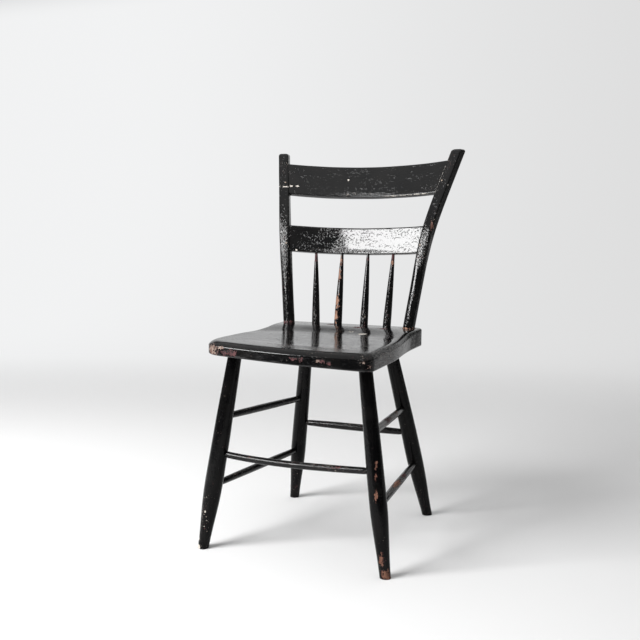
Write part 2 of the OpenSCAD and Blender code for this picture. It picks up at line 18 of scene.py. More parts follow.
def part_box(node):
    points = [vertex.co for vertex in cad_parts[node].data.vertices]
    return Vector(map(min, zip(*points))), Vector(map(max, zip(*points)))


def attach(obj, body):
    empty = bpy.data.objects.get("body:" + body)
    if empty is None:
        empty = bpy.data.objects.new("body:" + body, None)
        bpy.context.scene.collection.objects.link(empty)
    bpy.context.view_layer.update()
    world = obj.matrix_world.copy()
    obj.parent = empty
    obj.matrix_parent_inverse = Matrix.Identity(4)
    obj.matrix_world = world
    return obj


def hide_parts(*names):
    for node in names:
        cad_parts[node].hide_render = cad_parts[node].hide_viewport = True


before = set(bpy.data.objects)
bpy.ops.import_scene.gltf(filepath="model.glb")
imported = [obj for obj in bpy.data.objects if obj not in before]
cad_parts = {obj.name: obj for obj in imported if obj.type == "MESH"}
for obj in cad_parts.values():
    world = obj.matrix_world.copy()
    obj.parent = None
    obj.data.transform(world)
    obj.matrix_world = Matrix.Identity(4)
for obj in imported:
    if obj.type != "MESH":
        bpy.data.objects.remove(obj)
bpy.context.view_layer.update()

log = logging.getLogger("chair")

MM = 0.001
UP = Vector((0.0, 0.0, 1.0))
PAINT_THICKNESS = 0.3 * MM
BODY = "root"

Mesh = bmesh.types.BMesh
Edge = bmesh.types.BMEdge
Pair = tuple[float, float]
Point = tuple[float, float, float]
Colour = tuple[float, float, float, float]
Feed = float | tuple[float, ...] | bpy.types.NodeSocket


# ------------------------------------------------------------------ small sums


def mix(a: float, b: float, t: float) -> float:
    """Value t of the way from a to b."""
    return a + (b - a) * t


def clamp(t: float) -> float:
    """t held between 0 and 1."""
    return max(0.0, min(1.0, t))


def smooth(t: float) -> float:
    """Eased step from 0 to 1, level at both ends."""
    c = clamp(t)
    return c * c * (3.0 - 2.0 * c)


def smooth_run(s: float, span: float) -> float:
    """Length gained after a smooth change of slope.

    Args:
        s: Distance past the start of the change.
        span: Distance over which the slope goes from nothing to all of it.

    Returns:
        The integral of the eased slope up to s.
    """
    u = clamp(s / span)
    return span * (u**3 - u**4 / 2.0) + max(0.0, s - span)


def ripple(point: Vector, pitch: float, seed: float) -> float:
    """Smooth unevenness of a hand-made surface.

    Args:
        point: Place on the surface, in metres.
        pitch: Size of one ripple, in metres.
        seed: Offset that tells one piece's ripple from another's.

    Returns:
        A value between about -1 and 1.
    """
    return noise.noise(point / pitch + Vector((seed, 0.37 * seed, -seed)))


def heading(azimuth: float, elevation: float) -> Vector:
    """Direction out from the chair.

    Args:
        azimuth: Degrees from straight in front, towards the chair's right.
        elevation: Degrees above level.

    Returns:
        The direction, of unit length.
    """
    a, e = math.radians(azimuth), math.radians(elevation)
    return Vector((math.sin(a) * math.cos(e), -math.cos(a) * math.cos(e), math.sin(e)))


def hand(side: int) -> str:
    """Word for a side: -1 for the left and 1 for the right."""
    return "left" if side < 0 else "right"


def placed(name: str, data: bpy.types.ID) -> bpy.types.Object:
    """Object for a mesh, lamp or camera.

    Args:
        name: The object's name.
        data: What it shows or holds.

    Returns:
        The object, linked to the scene.
    """
    made = bpy.data.objects.new(name, data)
    bpy.context.scene.collection.objects.link(made)
    return made


# ------------------------------------------------------------------ wear


class Bared(Enum):
    """What a worn place shows, as the channel of the wear colour that holds it; the pale channel also paints
    a highlight, and the rubbed one a sheen in the brush marks.
    """

    PRIMER = 0
    WOOD = 1
    PALE_FILLER_AND_HIGHLIGHT = 2
    RUBBED = 3


@dataclass(frozen=True)
class WornPlace:
    """One worn place, or one stretch of painted highlight: what it bares, its middle and its reach, in
    millimetres in the chair's frame.
    """

    bares: Bared
    middle: Point
    reach: Point

    def depth_at(self, point: Vector) -> float:
        """How far the wear has gone.

        Args:
            point: Place on the surface, in metres.

        Returns:
            1 in the middle, a half at the reach and 0 at twice the reach.
        """
        off = [(p / MM - m) / r for p, m, r in zip(point, self.middle, self.reach)]
        return max(0.0, 1.0 - 0.5 * math.sqrt(sum(o * o for o in off)))


def bare_primer(middle: Point, reach: Point) -> WornPlace:
    """Place where the gloss has gone and the red primer shows."""
    return WornPlace(Bared.PRIMER, middle, reach)


def bare_wood(middle: Point, reach: Point) -> WornPlace:
    """Place that is bare down to the wood."""
    return WornPlace(Bared.WOOD, middle, reach)


def pale_filler_and_highlight(middle: Point, reach: Point) -> WornPlace:
    """Place where pale filler or a pale scratch shows; the same pale marks also paint the highlight along the
    right post's arris.
    """
    return WornPlace(Bared.PALE_FILLER_AND_HIGHLIGHT, middle, reach)


def rubbed_gloss(middle: Point, reach: Point) -> WornPlace:
    """Place whose gloss is crazed, thick with fine chips, and greyer in its brush marks with dust and painted
    sheen.
    """
    return WornPlace(Bared.RUBBED, middle, reach)


def pale_line(start: Point, end: Point, count: int) -> tuple[WornPlace, ...]:
    """Pale line, 2 mm wide, along an arris; on the right post it is a painted highlight.

    Args:
        start: Its first point, in millimetres.
        end: Its last point.
        count: How many places make it up.

    Returns:
        The places, evenly spaced, each reaching into the next.
    """
    first, last = Vector(start), Vector(end)
    half_width = 1.0
    half_step = 0.75 * (last - first).length / count
    reach = tuple(max(half_width, half_step * abs(d)) for d in (last - first).normalized())
    return tuple(pale_filler_and_highlight(tuple(first.lerp(last, (i + 0.5) / count)), reach) for i in range(count))


# ------------------------------------------------------------------ node board


class Board:
    """A node tree, with short calls for the nodes that the finishes share."""

    def __init__(self, tree: bpy.types.NodeTree) -> None:
        """Takes over a tree that is already in use."""
        self.tree = tree

    def node(self, kind: str, feeds: dict[str | int, Feed], **settings: object) -> bpy.types.Node:
        """Adds a node.

        Args:
            kind: Type of the node.
            feeds: What goes into each named or numbered input, a constant or a socket.
            **settings: The node's own properties.

        Returns:
            The new node.
        """
        made = self.tree.nodes.new(kind)
        for key, value in settings.items():
            setattr(made, key, value)
        for key, value in feeds.items():
            self.plug(made.inputs[key], value)
        return made

    def plug(self, socket: bpy.types.NodeSocket, value: Feed) -> None:
        """Sets an input to a constant, or links it to a socket.

        Args:
            socket: The input.
            value: The constant or the socket.
        """
        if isinstance(value, bpy.types.NodeSocket):
            self.tree.links.new(value, socket)
        else:
            socket.default_value = value

    def attribute(self, name: str) -> bpy.types.Node:
        """Node that reads one of the mesh's own attributes."""
        return self.node("ShaderNodeAttribute", {}, attribute_name=name)

    def stretched(self, grain: Feed, lengthwise: float, seed: float) -> Feed:
        """Coordinates scaled along the grain and shifted by a seed."""
        feeds = {"Vector": grain, "Scale": (1.0, 1.0, lengthwise), "Location": (seed, -seed, 2.0 * seed)}
        return self.node("ShaderNodeMapping", feeds).outputs[0]

    def along(self, vector: Feed, direction: Point) -> Feed:
        """How far a vector goes in a direction."""
        made = self.node("ShaderNodeVectorMath", {0: vector, 1: direction}, operation="DOT_PRODUCT")
        return made.outputs["Value"]

    def axis(self, vector: Feed, name: str) -> Feed:
        """One of a vector's X, Y and Z."""
        return self.node("ShaderNodeSeparateXYZ", {0: vector}).outputs[name]

    def noise(self, vector: Feed, scale: float, detail: float = 2.0, rough: float = 0.5) -> Feed:
        """Cloudy noise, whose mean is a half."""
        feeds = {"Vector": vector, "Scale": scale, "Detail": detail, "Roughness": rough}
        return self.node("ShaderNodeTexNoise", feeds).outputs[0]

    def cracks(self, vector: Feed, scale: float) -> Feed:
        """Distance to the nearest edge of a pattern of cells."""
        feeds = {"Vector": vector, "Scale": scale}
        return self.node("ShaderNodeTexVoronoi", feeds, feature="DISTANCE_TO_EDGE").outputs["Distance"]

    def sum(self, operation: str, a: Feed, b: Feed = 0.0) -> Feed:
        """One step of arithmetic on two numbers."""
        return self.node("ShaderNodeMath", {0: a, 1: b}, operation=operation).outputs[0]

    def times(self, a: Feed, b: Feed) -> Feed:
        """Product of two numbers."""
        return self.sum("MULTIPLY", a, b)

    def plus(self, a: Feed, b: Feed) -> Feed:
        """Total of two numbers."""
        return self.sum("ADD", a, b)

    def less(self, a: Feed, b: Feed) -> Feed:
        """What is left of a when b is taken from it."""
        return self.sum("SUBTRACT", a, b)

    def most(self, first: Feed, *others: Feed) -> Feed:
        """Largest of some numbers.

        Args:
            first: One of them.
            *others: The rest.

        Returns:
            The socket that carries it.
        """
        for other in others:
            first = self.sum("MAXIMUM", first, other)
        return first

    def between(self, value: Feed, low: Feed, high: Feed, start: float = 0.0, end: float = 1.0) -> Feed:
        """Eased ramp.

        Args:
            value: What is measured.
            low: Value at and below which the ramp gives start.
            high: Value at and above which it gives end.
            start: The ramp's first level.
            end: The ramp's last level.

        Returns:
            The socket that carries the level.
        """
        feeds = {"Value": value, "From Min": low, "From Max": high, "To Min": start, "To Max": end}
        made = self.node("ShaderNodeMapRange", feeds, interpolation_type="SMOOTHSTEP")
        return made.outputs[0]

    def blend(self, share: Feed, a: Feed, b: Feed) -> Feed:
        """Colour that goes from a to b."""
        made = self.node("ShaderNodeMix", {0: share, 6: a, 7: b}, data_type="RGBA")
        return made.outputs[2]

    def bump(self, height: Feed) -> Feed:
        """Normal of a surface raised by a height in metres."""
        feeds = {"Height": height, "Strength": 1.0, "Distance": 1.0}
        return self.node("ShaderNodeBump", feeds).outputs[0]


def new_material(name: str) -> tuple[bpy.types.Material, Board, bpy.types.Node]:
    """Starts a material.

    Args:
        name: Name of the material.

    Returns:
        The material, its board and its Principled shader.
    """
    material = bpy.data.materials.new(name)
    material.use_nodes = True
    board = Board(material.node_tree)
    shader = next(n for n in material.node_tree.nodes if n.type == "BSDF_PRINCIPLED")
    return material, board, shader


# ------------------------------------------------------------------ finishes

BLACK = (0.0016, 0.0016, 0.0019, 1.0)
BLACK_WORN = (0.0048, 0.0045, 0.0044, 1.0)
PRIMER = (0.0900, 0.0310, 0.0320, 1.0)
PRIMER_DARK = (0.0260, 0.0100, 0.0120, 1.0)
WOOD = (0.4000, 0.2200, 0.1450, 1.0)
WOOD_AGED = (0.2200, 0.1100, 0.0750, 1.0)
WOOD_GREY = (0.3300, 0.2650, 0.2200, 1.0)
WOOD_DARK = (0.0950, 0.0420, 0.0300, 1.0)
# pale of filler and scratches; also the colour of the painted highlight along the right post's arris
PALE_FILLER_AND_HIGHLIGHT = (0.5500, 0.5100, 0.4600, 1.0)
CHIP_PALE = (0.2600, 0.2200, 0.1900, 1.0)
# grey of dust in the rubbed brush marks, which also paints a sheen there
DUST_AND_SHEEN = (0.0400, 0.0370, 0.0340, 1.0)
SCUFF = (0.0700, 0.0660, 0.0640, 1.0)


@dataclass(frozen=True)
class BrushedGloss:
    """Old black gloss, brushed on over red primer and chipped through in places.

    Heights and depths are in metres; grit and crack_cells are in cells per metre.
    """

    name: str
    ripple: float = 0.00012
    streak: float = 0.00006
    pits: float = 0.00010
    roughness: float = 0.07
    patchy: float = 0.12
    ior: float = 1.42
    chips: float = 0.30
    grit: float = 215.0
    under: Colour = PRIMER
    wood: Colour = WOOD
    seed: float = 1.0
    ragged_rim: float = 2.9
    gives_way: float = 0.50
    ring_gives_way: float = 0.44
    crack_cells: float = 320.0
    crack_depth: float = 0.00030
    chip_depth: float = 0.00016
    wood_depth: float = 0.00010
    bare_roughness: float = 0.62
    rubbed_roughness: float = 0.03
    # share of the grey that the rubbed brush marks take: dust, and painted sheen
    dust: float = 0.25

    @cache
    def material(self) -> bpy.types.Material:
        """Builds the finish once.

        Returns:
            The material, whose patterns follow each piece's own grain and wear.
        """
        material, board, shader = new_material(self.name)
        grain = board.attribute("grain").outputs["Vector"]
        wear = board.attribute("wear")
        depth = board.node("ShaderNodeSeparateColor", {0: wear.outputs["Color"]}).outputs
        rubbed = wear.outputs["Alpha"]

        ragged = board.noise(board.stretched(grain, 0.6, self.seed), self.grit, 6.0, 0.72)
        edge = board.times(board.less(ragged, 0.5), self.ragged_rim)
        primer = self.bared(board, depth[0], edge, self.gives_way)
        ring = self.bared(board, depth[1], edge, self.ring_gives_way)
        primer = board.most(primer, ring)
        wood = self.bared(board, depth[1], edge, self.gives_way)
        # pale mask: filler and scratches, and the painted highlight along the right post's arris
        filler = self.bared(board, depth[2], board.times(edge, 0.4), self.gives_way)
        flecks = self.flecks(board, grain, rubbed)
        streaks = board.noise(board.stretched(grain, 0.06, self.seed), 520.0, 3.0)

        colour = self.gloss_colour(board, grain, streaks, rubbed)
        fleck_tone = board.between(board.noise(grain, 60.0, 1.0), 0.42, 0.60)
        colour = board.blend(flecks, colour, board.blend(fleck_tone, self.under, CHIP_PALE))
        primer_tone = board.between(ragged, 0.4, 0.6)
        colour = board.blend(primer, colour, board.blend(primer_tone, PRIMER_DARK, PRIMER))
        figure = board.noise(board.stretched(grain, 0.05, self.seed), 420.0, 4.0, 0.6)
        grained = board.blend(board.between(figure, 0.36, 0.62), WOOD_DARK, self.wood)
        colour = board.blend(wood, colour, grained)
        board.plug(shader.inputs["Base Color"], board.blend(filler, colour, PALE_FILLER_AND_HIGHLIGHT))

        flat = board.most(primer, filler, flecks)
        patchy = board.between(board.noise(grain, 75.0, 4.0, 0.6), 0.42, 0.75, 0.0, self.patchy)
        dull = board.plus(board.plus(patchy, self.roughness), board.times(rubbed, self.rubbed_roughness))
        rough = board.node("ShaderNodeMix", {0: flat, 2: dull, 3: self.bare_roughness}).outputs[0]
        board.plug(shader.inputs["Roughness"], rough)
        board.plug(shader.inputs["Normal"], self.relief(board, grain, streaks, flat, wood, rubbed))
        shader.inputs["IOR"].default_value = self.ior
        return material

    def bared(self, board: Board, depth: Feed, edge: Feed, limit: float) -> Feed:
        """Crisp mask of where the wear has broken through.

        Args:
            board: The material's board.
            depth: How far the wear has gone.
            edge: Noise that makes the rim ragged, near the wear only.
            limit: Depth at which the layer gives way.

        Returns:
            The socket that carries the mask.
        """
        near = board.between(depth, 0.0, 0.15)
        level = board.plus(depth, board.times(edge, near))
        return board.between(level, limit - 0.015, limit + 0.015)

    def gloss_colour(self, board: Board, grain: Feed, streaks: Feed, rubbed: Feed) -> Feed:
        """Black that is cloudy with age, and lighter grey in the brush marks where it is rubbed: partly dust,
        partly painted sheen.

        Args:
            board: The material's board.
            grain: The piece's own straight coordinates.
            streaks: The brush marks' noise.
            rubbed: How rubbed the place is.

        Returns:
            The socket that carries the colour.
        """
        cloud = board.between(board.noise(grain, 22.0, 3.0), 0.35, 0.75)
        # painted sheen: where rubbed, the brush marks are lightened towards a grey that is partly dust
        dust_and_sheen_mask = board.times(rubbed, board.between(streaks, 0.42, 0.70))
        return board.blend(board.times(dust_and_sheen_mask, self.dust), board.blend(cloud, BLACK, BLACK_WORN), DUST_AND_SHEEN)

    def flecks(self, board: Board, grain: Feed, rubbed: Feed) -> Feed:
        """Mask of the fine chips that lie thicker where the paint is rubbed.

        Args:
            board: The material's board.
            grain: The piece's own straight coordinates.
            rubbed: How rubbed the place is.

        Returns:
            The socket that carries the mask.
        """
        fine = board.noise(board.stretched(grain, 0.7, self.seed + 3.0), 430.0, 2.5, 0.55)
        drift = board.between(board.noise(grain, 28.0, 2.0), 0.40, 0.72, 0.0, 0.07)
        ease = board.plus(board.times(rubbed, 0.12), drift)
        limit = board.less(0.775 - 0.10 * self.chips, ease)
        return board.between(board.less(fine, limit), 0.0, 0.02)

    def relief(
        self, board: Board, grain: Feed, streaks: Feed, flat: Feed, wood: Feed, rubbed: Feed
    ) -> Feed:
        """Brush marks, ripple, pits, crackle and the step down into each chip.

        Args:
            board: The material's board.
            grain: The piece's own straight coordinates.
            streaks: The brush marks' noise.
            flat: Mask of everything that isn't gloss.
            wood: Mask of the bare wood.
            rubbed: How rubbed the place is.

        Returns:
            The socket that carries the normal.
        """
        peel = board.noise(board.stretched(grain, 0.55, self.seed + 7.0), 165.0, 3.0, 0.55)
        height = board.times(peel, self.ripple)
        height = board.plus(height, board.times(streaks, self.streak))
        pits = board.noise(board.stretched(grain, 0.8, self.seed + 5.0), 260.0, 2.0)
        bunch = board.noise(board.stretched(grain, 0.5, self.seed + 9.0), 55.0, 3.0, 0.6)
        pits = board.times(board.between(pits, 0.52, 0.68), board.between(bunch, 0.36, 0.62))
        cells = board.cracks(board.stretched(grain, 0.5, self.seed), self.crack_cells)
        crack = board.times(board.between(cells, 0.0, 0.22, 1.0, 0.0), board.between(rubbed, 0.35, 0.9))
        sunk = (
            (pits, self.pits),
            (crack, self.crack_depth),
            (flat, self.chip_depth),
            (wood, self.wood_depth),
        )
        for mask, depth in sunk:
            height = board.less(height, board.times(mask, depth))
        return board.bump(height)


@dataclass(frozen=True)
class PegWood:
    """End grain of a tenon peg, rubbed bare and grey with dirt."""

    name: str = "peg end grain"
    dark_ring: Colour = (0.17, 0.12, 0.085, 1.0)
    pale_ring: Colour = (0.55, 0.45, 0.36, 1.0)
    pore: Colour = (0.03, 0.02, 0.015, 1.0)

    @cache
    def material(self) -> bpy.types.Material:
        """Builds the finish once.

        Returns:
            The material.
        """
        material, board, shader = new_material(self.name)
        place = board.node("ShaderNodeTexCoord", {}).outputs["Object"]
        rings = board.noise(place, 900.0, 4.0, 0.6)
        pores = board.cracks(place, 1500.0)
        colour = board.blend(board.between(rings, 0.35, 0.65), self.dark_ring, self.pale_ring)
        colour = board.blend(board.between(pores, 0.0, 0.08, 0.6, 0.0), colour, self.pore)
        board.plug(shader.inputs["Base Color"], colour)
        board.plug(shader.inputs["Roughness"], board.between(rings, 0.3, 0.7, 0.45, 0.75))
        board.plug(shader.inputs["Normal"], board.bump(board.times(rings, 0.0001)))
        return material


class Slot(Enum):
    """Material slots of the record, by the family of pieces that share one."""

    SEAT = "seat_paint"
    LEG = "leg_paint"
    STRETCHER = "stretcher_paint"
    POST = "post_paint"
    SLAT = "slat_paint"
    SPINDLE = "spindle_paint"
    PEG = "peg_wood"


Finish = BrushedGloss | PegWood
FINISHES: dict[Slot, Finish] = {
    Slot.SEAT: BrushedGloss(
        "seat gloss",
        ripple=0.00013,
        pits=0.00018,
        patchy=0.06,
        ior=1.38,
        grit=300.0,
        wood=WOOD_GREY,
        seed=2.0,
    ),
    Slot.LEG: BrushedGloss(
        "leg gloss", streak=0.00005, pits=0.00020, ior=1.20, chips=0.0, wood=WOOD_AGED, seed=5.0
    ),
    Slot.STRETCHER: BrushedGloss(
        "stretcher gloss", pits=0.00025, roughness=0.14, ior=1.33, chips=0.25, wood=WOOD_AGED, seed=8.0
    ),
    Slot.POST: BrushedGloss(
        "post gloss", ripple=0.00040, streak=0.0001, pits=0.00042, patchy=0.06, ior=1.44, chips=0.0, seed=11.0
    ),
    Slot.SLAT: BrushedGloss(
        "slat gloss",
        ripple=0.00013,
        pits=0.00023,
        roughness=0.03,
        patchy=0.03,
        ior=1.5,
        chips=0.0,
        under=SCUFF,
        seed=14.0,
    ),
    Slot.SPINDLE: BrushedGloss("spindle gloss", pits=0.00035, ior=1.38, chips=0.20, grit=240.0, seed=17.0),
    Slot.PEG: PegWood(),
}


# ------------------------------------------------------------------ making a piece


def edges_along(bm: Mesh, axis: int, least: float) -> list[Edge]:
    """Edges that run along one axis.

    Args:
        bm: The mesh.
        axis: 0, 1 or 2 for x, y or z.
        least: Shortest length that counts.

    Returns:
        The edges.
    """
    return [e for e in bm.edges if abs(e.verts[0].co[axis] - e.verts[1].co[axis]) > least]


def ease(bm: Mesh, edges: list[Edge], width: float, segments: int) -> None:
    """Takes the sharpness off some edges.

    Args:
        bm: The piece's mesh.
        edges: The edges.
        width: How far the rounding reaches from each edge.
        segments: Facets across it.
    """
    bmesh.ops.bevel(
        bm, geom=edges, offset=width, segments=segments, profile=0.5, affect="EDGES", material=-1
    )


def straight_blank(sides: int, rings: int, length: float) -> Mesh:
    """Round blank of unit radius that stands on the origin.

    Args:
        sides: Faces round the blank.
        rings: Rings of faces along it.
        length: Height of the blank in metres.

    Returns:
        The blank's mesh, open to be shaped.
    """
    bm = bmesh.new()
    stand = Matrix.Translation((0.0, 0.0, length / 2.0))
    bmesh.ops.create_cone(
        bm, cap_ends=True, segments=sides, radius1=1.0, radius2=1.0, depth=length, matrix=stand
    )
    bmesh.ops.subdivide_edges(bm, edges=edges_along(bm, 2, length / 2.0), cuts=rings - 1)
    return bm


def mark_grain(bm: Mesh, seed: float) -> None:
    """Stores each point's straight coordinates, which the finishes' patterns follow.

    Args:
        bm: The piece's mesh, before any turn or bend.
        seed: Shift that keeps any two pieces from matching.
    """
    layer = bm.verts.layers.float_vector.new("grain")
    shift = Vector((seed, 0.7 * seed, 1.3 * seed))
    for vert in bm.verts:
        vert[layer] = vert.co + shift


def turned(
    start: Vector, end: Vector, radius: Callable[[float], float], sides: int, rings: int, seed: float
) -> Mesh:
    """Turned bar between two points.

    Args:
        start: Middle of the first end.
        end: Middle of the last end.
        radius: Radius by distance from the start.
        sides: Faces round the bar.
        rings: Rings of faces along it.
        seed: Offset of its unevenness.

    Returns:
        The bar's mesh, in place.
    """
    unevenness, wave = 0.022, 0.05
    bm = straight_blank(sides, rings, (end - start).length)
    for vert in bm.verts:
        around = Vector((vert.co.x, vert.co.y, vert.co.z / wave))
        reach = radius(vert.co.z) * (1.0 + unevenness * ripple(around, 1.4, seed))
        vert.co.x *= reach
        vert.co.y *= reach
    mark_grain(bm, seed)
    turn = UP.rotation_difference(end - start).to_matrix().to_4x4()
    bmesh.ops.transform(bm, matrix=Matrix.Translation(start) @ turn, verts=bm.verts)
    return bm


def saw_level(bm: Mesh, height: float, keep_above: bool) -> list[Edge]:
    """Saws a bar off level.

    Args:
        bm: The bar's mesh.
        height: Height of the cut.
        keep_above: Whether the length above the cut is kept.

    Returns:
        The edges round the cut.
    """
    everything = bm.verts[:] + bm.edges[:] + bm.faces[:]
    cut = bmesh.ops.bisect_plane(
        bm,
        geom=everything,
        plane_co=(0.0, 0.0, height),
        plane_no=UP,
        clear_inner=keep_above,
        clear_outer=not keep_above,
    )
    rim = [e for e in cut["geom_cut"] if isinstance(e, Edge)]
    bmesh.ops.holes_fill(bm, edges=rim, sides=0)
    return [e for e in rim if e.is_valid]


def round_over(bm: Mesh, rounding: float, lean: Vector) -> None:
    """Carries a bar on above its level cut with a rounded shoulder.

    Args:
        bm: The bar's mesh.
        rounding: Radius of the shoulder, which is also the height that it adds.
        lean: The bar's run per unit of height.
    """
    face = max(bm.faces, key=lambda f: f.calc_center_median().z)
    middle = face.calc_center_median()
    low = [vert.co.copy() for vert in face.verts]
    reach = min((co - middle).length for co in low)
    steps = 6
    for i in range(1, steps + 1):
        a = math.radians(90.0 * i / steps)
        face = bmesh.ops.extrude_discrete_faces(bm, faces=[face])["faces"][0]
        share = 1.0 - rounding / reach * (1.0 - math.cos(a))
        for vert, co in zip(face.verts, low):
            vert.co = middle + (co - middle) * share + lean * rounding * math.sin(a)


def finished(
    bm: Mesh,
    name: str,
    slot: Slot,
    worn: tuple[WornPlace, ...] = (),
    rub: Callable[[Vector], float] | float = 0.0,
) -> None:
    """Paints the wear on a piece and hands it to the frame in its node's place.

    Args:
        bm: The piece's mesh, in place; it is used up.
        name: The CAD node that the piece stands for.
        slot: The slot whose finish it takes.
        worn: Its worn places.
        rub: How rubbed it is beyond those places, by place or all over.
    """
    bmesh.ops.recalc_face_normals(bm, faces=bm.faces)
    layer = bm.verts.layers.float_color.new("wear")
    for vert in bm.verts:
        levels = [0.0, 0.0, 0.0, rub if isinstance(rub, float) else rub(vert.co)]
        for place in worn:
            channel = place.bares.value
            levels[channel] = max(levels[channel], place.depth_at(vert.co))
        vert[layer] = levels
    bm.normal_update()
    for vert in bm.verts:
        lost = smooth((max(vert[layer][:3]) - 0.4) / 0.3)
        vert.co -= vert.normal * lost * PAINT_THICKNESS
    for face in bm.faces:
        face.smooth = len(face.verts) <= 4
    mesh = bpy.data.meshes.new(name)
    bm.to_mesh(mesh)
    triangles = sum(len(face.verts) - 2 for face in bm.faces)
    bm.free()
    mesh.materials.append(FINISHES[slot].material())
    piece = placed(f"{name}_finished", mesh)
    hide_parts(name)
    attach(piece, BODY)
    log.info("%s: %d triangles in %s", piece.name, triangles, slot.value)


# ------------------------------------------------------------------ seat


@dataclass
class SeatPlank:
    """Dished plank seat, bowed at the front and twisted by drying."""

    # the plan outline
    front_y: float
    rear_y: float
    front_half: float
    height: float
    rear_half: float = 0.165
    straight_front: float = 0.135
    straight_rear: float = 0.085
    front_bow: float = 0.020
    right_corner: float = 0.019
    left_corner: float = 0.050
    rear_corner: float = 0.018
    # the two faces; the pairs are at the middle and the sides, then from the front and the rear
    thickness: float = 0.034
    right_thicker: float = 0.005
    rear_band: float = 0.047
    dish: float = 0.0055
    dish_run: Pair = (0.070, 0.105)
    dish_draw: float = 0.038
    bowl: float = 0.004
    bowl_run: Pair = (0.120, 0.080)
    front_fall: float = 0.002
    fall_run: float = 0.105
    twist: float = 0.009
    # the edges
    roll: float = 0.022
    roll_dies: float = 0.125
    roll_fade: float = 0.085
    roll_turn: float = math.radians(50.0)
    edge_round: float = 0.0042
    rear_round: float = 0.006
    bottom_round: float = 0.003
    # the rub: all over and along the arris, which lies this far below the top
    rub: Pair = (0.10, 0.30)
    arris_drop: float = 0.0085
    arris_reach: float = 0.005
    # the mesh
    cells: int = 132
    round_rings: int = 14
    side_rows: int = 10
    outlines: dict[int, list[Vector]] = field(default_factory=dict)

    WORN = (
        bare_wood((-150, -228, 416), (12, 9, 8)),
        bare_wood((-131, -236, 422), (8, 5, 2.5)),
        bare_primer((-121, -238, 412), (6, 6, 4)),
        bare_primer((-103, -240, 414), (8, 6, 5)),
        bare_primer((27, -247, 412), (5, 5, 2.6)),
        bare_primer((44, -245, 411), (3, 4, 3.5)),
        bare_wood((76, -243, 410.5), (3, 4, 2)),
        bare_primer((84, -243, 410.5), (5, 5, 3)),
        bare_primer((98, -241, 408), (3, 4, 3.5)),
        rubbed_gloss((160, -218, 418), (24, 24, 12)),
        bare_wood((161, -230, 411), (2.4, 4, 1.8)),
        bare_wood((170, -221, 404), (3, 5, 4)),
        rubbed_gloss((174, -120, 412), (12, 110, 25)),
        pale_filler_and_highlight((30, 51.5, 428), (8, 3.5, 3)),
        pale_filler_and_highlight((62, 36.5, 427), (11, 4.5, 3)),
        pale_filler_and_highlight((78, 25.5, 426), (5, 3, 3)),
        bare_primer((-41, 114.5, 436), (7, 8, 3)),
        bare_primer((32, 88.5, 435), (9, 7, 3)),
        bare_primer((91, 84.5, 435.6), (8, 6, 3)),
        bare_wood((142, 109, 436), (13, 13, 2.2)),
        rubbed_gloss((0, -202, 424), (150, 30, 6)),
    )

    def middle_y(self) -> float:
        """Depth of the plank's middle."""
        return (self.front_y + self.rear_y) / 2.0

    def half_width(self, y: float) -> float:
        """Half width at depth y: full at the front, drawn in towards the rear."""
        start, end = self.front_y + self.straight_front, self.rear_y - self.straight_rear
        return mix(self.front_half, self.rear_half, smooth((y - start) / (end - start)))

    def front_edge(self, x: float) -> float:
        """Depth of the bowed front edge at x."""
        return self.front_y + self.front_bow * (x / self.front_half) ** 2

    def half_outline(self, corner: float) -> list[Vector]:
        """Half of the plan outline, from the middle of the front to the middle of the rear.

        Args:
            corner: Radius of the front corner.

        Returns:
            Its points, close together.
        """
        corner_x = self.front_half - corner
        corner_y = self.front_edge(corner_x) + corner
        rear_y = self.rear_y - self.rear_corner
        steps = 24
        points = [Vector((corner_x * i / steps, self.front_edge(corner_x * i / steps))) for i in range(steps)]
        for i in range(steps):
            a = math.radians(90.0 * i / steps)
            points.append(Vector((corner_x + corner * math.sin(a), corner_y - corner * math.cos(a))))
        for i in range(steps):
            y = mix(corner_y, rear_y, i / steps)
            points.append(Vector((self.half_width(y), y)))
        rear_x = self.rear_half - self.rear_corner
        for i in range(steps):
            a = math.radians(90.0 * i / steps)
            out = self.rear_corner * Vector((math.cos(a), math.sin(a)))
            points.append(Vector((rear_x, rear_y)) + out)
        for i in range(steps + 1):
            points.append(Vector((rear_x * (1.0 - i / steps), self.rear_y)))
        return points

    def outline_at(self, u: float, v: float) -> Vector:
        """Point of the outline that a point on the rim of a square stands for.

        Args:
            u: Across the square, from -1 on the left to 1 on the right.
            v: Along the square, from -1 at the front to 1 at the rear.

        Returns:
            The plan point on the same side of the outline.
        """
        side = 1 if u >= 0.0 else -1
        if side not in self.outlines:
            self.outlines[side] = self.half_outline(self.right_corner if side > 0 else self.left_corner)
        points = self.outlines[side]
        part = (len(points) - 1) / 5.0
        front_corner, rear_corner = 1.5 * part, 3.5 * part
        if v <= -abs(u):
            place = abs(u) * front_corner
        elif v >= abs(u):
            place = mix(len(points) - 1.0, rear_corner, abs(u))
        else:
            place = mix(front_corner, rear_corner, (v + 1.0) / 2.0)
        first = min(int(place), len(points) - 2)
        point = points[first].lerp(points[first + 1], place - first)
        return Vector((side * point.x, point.y))

    def twist_at(self, x: float, y: float) -> float:
        """Rise of the twisted plank, which dies out towards the rear band."""
        run = (self.rear_y - self.rear_band - y) / (self.rear_y - self.front_y - self.rear_band)
        return -self.twist / 2.0 * x / self.front_half * clamp(run)

